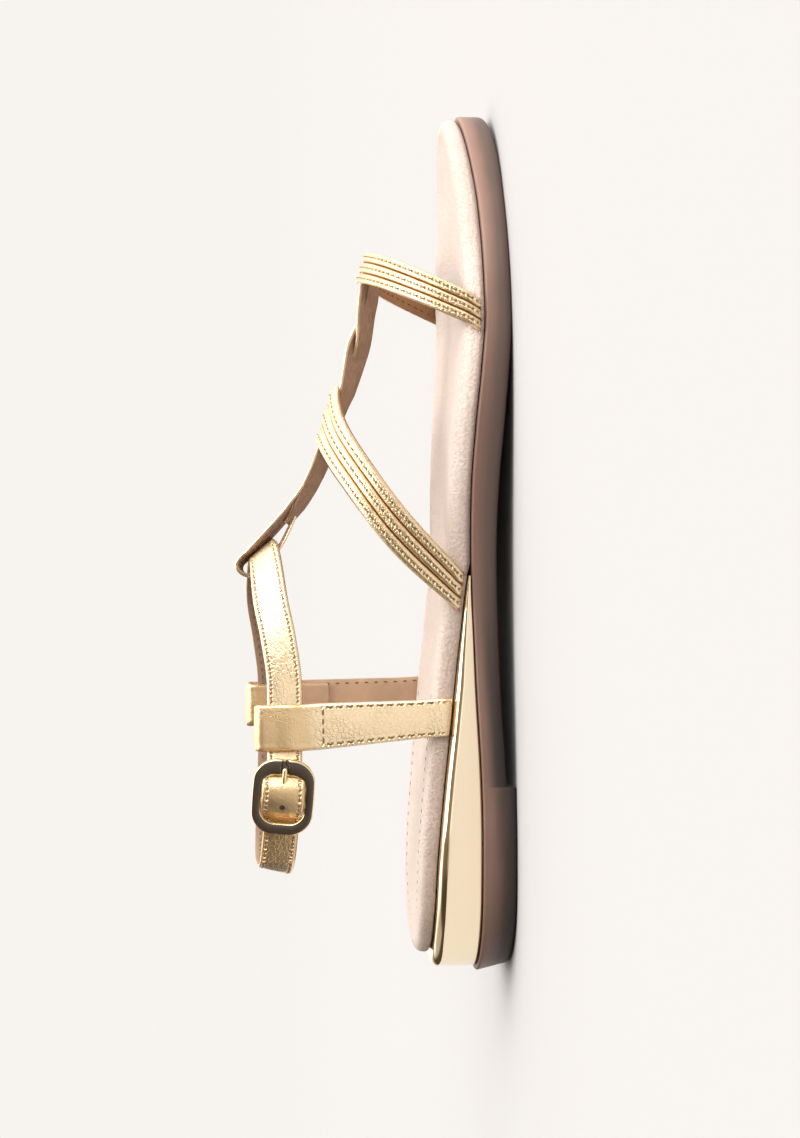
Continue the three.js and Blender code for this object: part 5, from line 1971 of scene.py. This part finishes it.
def rounded_outline(left, right, half, corner, barrel):
    """A rectangle with round corners whose long sides bow out a little."""
    middle = (left + right) / 2
    straight = [right - left - 2 * corner, 2 * (half - corner)]
    arc = math.pi / 2 * corner
    total = 2 * sum(straight) + 4 * arc
    sides = (
        (straight[1], "line", (right, -half + corner), (0, 1)),
        (arc, "arc", (right - corner, half - corner), 0),
        (straight[0], "line", (right - corner, half), (-1, 0)),
        (arc, "arc", (left + corner, half - corner), 1),
        (straight[1], "line", (left, half - corner), (0, -1)),
        (arc, "arc", (left + corner, -half + corner), 2),
        (straight[0], "line", (left + corner, -half), (1, 0)),
        (arc, "arc", (right - corner, -half + corner), 3),
    )
    made = []
    for k in range(FRAME_STEPS):
        far = total * k / FRAME_STEPS
        for reach, kind, start, way in sides:
            if far <= reach:
                break
            far -= reach
        if kind == "line":
            point = Vector((start[0] + way[0] * far, start[1] + way[1] * far))
        else:
            turn = way * math.pi / 2 + far / corner
            point = Vector((start[0] + corner * math.cos(turn), start[1] + corner * math.sin(turn)))
        bow = 1 - ((point.x - middle) / ((right - left) / 2)) ** 2
        point.y += math.copysign(barrel * max(bow, 0), point.y) * min(abs(point.y) / half, 1)
        made.append(point)
    return made


class SANDAL_OT_buckle(Operator):
    """Makes the buckle's frame with its enamel face, its middle bar and its prong"""

    bl_idname = "sandal.buckle"
    bl_label = "Buckle"

    def execute(self, context):
        buckle = context.scene.sandal_buckle
        buckle_at = buckle_frame()
        half_length = BUCKLE_LENGTH / 2
        half_height = BUCKLE_HEIGHT / 2
        barrel = buckle.barrel / MM
        outer = rounded_outline(-half_length, half_length, half_height - barrel, BUCKLE_CORNER, barrel)
        window = rounded_outline(
            -half_length + BUCKLE_HEEL_BAR, half_length - BUCKLE_TOE_BAR, half_height - barrel - BUCKLE_RAIL,
            BUCKLE_CORNER - BUCKLE_RAIL, barrel * 0.6)
        pairs = match_outlines(outer, window)
        section = [*FRAME_SECTION, FRAME_SECTION[0]]
        notch_radius = PRONG_RADIUS + SEAM

        def place(i, j):
            first, second = pairs[i % FRAME_STEPS]
            row = section[j]
            flat = first.lerp(second, row["across"])
            height = row["up"] * BUCKLE_THICK / 2
            if flat.x > 0 and abs(flat.y) < notch_radius and row["up"] > 0.5:
                floor = BUCKLE_THICK / 2 + PRONG_RADIUS * 0.4 - math.sqrt(notch_radius ** 2 - flat.y ** 2)
                height = min(height, floor)
            return buckle_at @ Vector((flat.x, flat.y, BUCKLE_OUT + height)), Vector((0, 0, row["enamel"]))

        bm = blank()
        split_faces(bm, grid(bm, FRAME_STEPS + 1, len(section), place), 0.9, 1, 0)
        close_up(bm)
        bar_at = buckle_at @ Matrix.Translation((0, 0, BAR_OUT)) @ Matrix.Rotation(math.pi / 2, 4, "X")
        bmesh.ops.create_cone(
            bm, cap_ends=True, segments=28, radius1=BAR_RADIUS * MM, radius2=BAR_RADIUS * MM,
            depth=(BUCKLE_HEIGHT - BUCKLE_RAIL) * MM, matrix=to_frame_matrix(bar_at))
        metal = polished_metal("buckle_metal", buckle.metal, 0.12)
        piece(bm, "buckle", [metal, black_enamel(buckle)], ["buckle_frame"], sharp=38)

        start = Vector((0, 0, BAR_OUT + BAR_RADIUS + SEAM + PRONG_RADIUS))
        rest = BUCKLE_OUT + BUCKLE_THICK / 2 + PRONG_RADIUS * 0.55
        bm = blank()
        prong(bm, buckle_at, start, Vector((half_length - PRONG_REST, 0, rest)))
        tube(bm, buckle_at, BAR_RADIUS + SEAM + EYE_WALL * 0.75, BAR_RADIUS + SEAM, 2 * PRONG_RADIUS, 0)
        metal = polished_metal("prong_metal", buckle.metal, 0.08)
        piece(bm, "buckle_tongue", [metal], ["buckle_prong"], sharp=60)
        return {"FINISHED"}


def to_frame_matrix(matrix):
    """A matrix in millimetres as one in the frame's metres, for pieces already in metres."""
    moved = matrix.copy()
    moved.translation = placed(matrix.translation)
    return moved


def match_outlines(outer, window):
    """Pairs of points of two outlines that face each other, by their angle round the middle."""

    def angle(point):
        return math.atan2(point.y, point.x) % (2 * math.pi)

    inner = sorted(window, key=angle)
    turns = [angle(point) for point in inner]

    def facing(point):
        want = angle(point)
        k = bisect.bisect_left(turns, want)
        before, after = inner[k - 1], inner[k % len(inner)]
        low = turns[k - 1] - (2 * math.pi if k == 0 else 0)
        high = turns[k % len(inner)] + (2 * math.pi if k == len(inner) else 0)
        return before.lerp(after, (want - low) / max(high - low, 1e-6))

    return [(point, facing(point)) for point in outer]


def prong(bm, buckle_at, start, end):
    """The prong: a pin that narrows a little to its round tip."""
    run = end - start
    reach = run.length
    away = run.normalized()
    side = Vector((0, 1, 0))
    up = away.cross(side) * -1

    def place(i, j):
        far = reach * PRONG_FORM[j]["far"]
        radius = PRONG_RADIUS * PRONG_FORM[j]["wide"]
        turn = 2 * math.pi * i / PRONG_STEPS
        point = start + away * far + side * (radius * math.cos(turn)) + up * (radius * math.sin(turn))
        return buckle_at @ point, Vector((far, 0, 1))

    grid(bm, PRONG_STEPS + 1, len(PRONG_FORM), place)
    close_up(bm)


def soft_sun(name, towards, power):
    """A broad soft light that falls evenly on the whole floor, with a list of the pieces that it skips."""
    data = bpy.data.lights.new(name, "SUN")
    data.angle = SUN_SPREAD
    data.energy = power
    made = add_object(name, data)
    made.rotation_euler = towards.to_track_quat("-Z", "Y").to_euler()
    made.light_linking.receiver_collection = bpy.data.collections.new(name + "_receivers")


def keep_light_off(made, light):
    """Keeps a light off a piece whose metal would mirror it too brightly."""
    receivers = bpy.data.objects[light].light_linking.receiver_collection
    receivers.objects.link(made)
    receivers.collection_objects[-1].light_linking.link_state = "EXCLUDE"


def studio_world(stage):
    """Pale surroundings: cream low down, brightest overhead and beyond the toe, dark between and at the
    heel. Seen directly they are plain paper."""
    world = bpy.data.worlds.new("studio")
    bpy.context.scene.world = world
    world.use_nodes = True
    nodes = Nodes(world.node_tree)
    toe_ward, inward, high = nodes.parts(nodes.add("ShaderNodeTexCoord", output="Generated"))
    heel_ward = nodes.step(-1 * toe_ward, 0.08, 0.45)
    low = nodes.fall(high, 0.1, 0.34) * (1 - heel_ward * 0.93)
    dark = 0.07 + (1 - heel_ward) * 0.2
    beyond_toe = nodes.step(toe_ward, 0.3, 0.7) * (1 - nodes.step(high, 0.2, 0.4) * 0.85)
    far_side = nodes.step(inward, -0.5, 0.02) * nodes.step(high, 0.2, 0.45)
    far_side = far_side * (1 - nodes.step(-1 * toe_ward, 0.1, 0.6) * 0.75)
    level = nodes.bigger(nodes.bigger(low * 1.14, beyond_toe * 2.6), nodes.bigger(far_side * 1.9, dark))
    tint = nodes.mix(nodes.step(level, 0.08, 0.8), (1.0, 0.76, 0.46), (1.0, 0.97, 0.925))
    lit = nodes.add("ShaderNodeVectorMath", {"operation": "SCALE"}, {0: tint, "Scale": level}, "Vector")
    around = nodes.add("ShaderNodeBackground", None, {"Color": lit, "Strength": stage.surroundings})
    paper = nodes.add("ShaderNodeBackground", None, {"Color": stage.paper})
    seen = nodes.add("ShaderNodeLightPath", output="Is Camera Ray")
    blend = nodes.add("ShaderNodeMixShader", None, {0: seen, 1: around, 2: paper})
    nodes.put(nodes.tree.nodes["World Output"].inputs["Surface"], blend)


class SANDAL_OT_stage(Operator):
    """Sets up the camera, the soft lights, the surroundings and the pale floor"""

    bl_idname = "sandal.stage"
    bl_label = "Stage"

    def execute(self, context):
        stage = context.scene.sandal_stage
        context.scene.view_settings.view_transform = "Standard"
        place, target = placed(CAMERA_PLACE), placed(CAMERA_TARGET)
        ahead = (target - place).normalized()
        upright = Vector((1, 0, 0))
        upright = (upright - ahead * upright.dot(ahead)).normalized()
        right = ahead.cross(upright)
        up = upright * math.cos(stage.roll) + right * math.sin(stage.roll)
        right = right * math.cos(stage.roll) - upright * math.sin(stage.roll)
        data = bpy.data.cameras.new("camera")
        data.lens = stage.lens
        data.sensor_width = 36
        data.clip_start = 0.01
        data.clip_end = 50
        camera = add_object("camera", data)
        camera.matrix_world = Matrix.Translation(place) @ Matrix((right, up, -ahead)).transposed().to_4x4()
        context.scene.camera = camera

        soft_sun("overhead", OVERHEAD_WAY, stage.overhead)
        soft_sun("toe_side", TOE_SIDE_WAY, stage.toe_side)
        studio_world(stage)

        bm = bmesh.new()
        bmesh.ops.create_circle(bm, cap_ends=True, segments=96, radius=FLOOR_RADIUS)
        mesh_object(bm, "floor", [paper_floor(stage)])
        return {"FINISHED"}


OPERATORS = (
    SANDAL_OT_stage,
    SANDAL_OT_outsole,
    SANDAL_OT_wedge,
    SANDAL_OT_insole,
    SANDAL_OT_bands,
    SANDAL_OT_t_bar,
    SANDAL_OT_side_straps,
    SANDAL_OT_ankle_strap,
    SANDAL_OT_buckle,
)


class SANDAL_PT_panel(Panel):
    """Lists the sandal's sizes and colours, and what makes its pieces"""

    bl_label = "Gladiator sandal"
    bl_idname = "SANDAL_PT_panel"
    bl_space_type = "VIEW_3D"
    bl_region_type = "UI"
    bl_category = "Sandal"

    def draw(self, context):
        for name, group in GROUPS.items():
            box = self.layout.box()
            box.label(text=group.__doc__)
            for key in group.__annotations__:
                box.prop(getattr(context.scene, name), key)
        for operator in OPERATORS:
            self.layout.operator(operator.bl_idname)


def register():
    for made in (*GROUPS.values(), *OPERATORS, SANDAL_PT_panel):
        bpy.utils.register_class(made)
    for name, group in GROUPS.items():
        setattr(bpy.types.Scene, name, PointerProperty(type=group))


def unregister():
    for name in GROUPS:
        delattr(bpy.types.Scene, name)
    for made in reversed((*GROUPS.values(), *OPERATORS, SANDAL_PT_panel)):
        bpy.utils.unregister_class(made)


def main():
    """Makes the whole sandal on its stage."""
    register()
    for operator in OPERATORS:
        getattr(bpy.ops.sandal, operator.bl_idname.split(".")[1])()


if __name__ == "__main__":
    main()
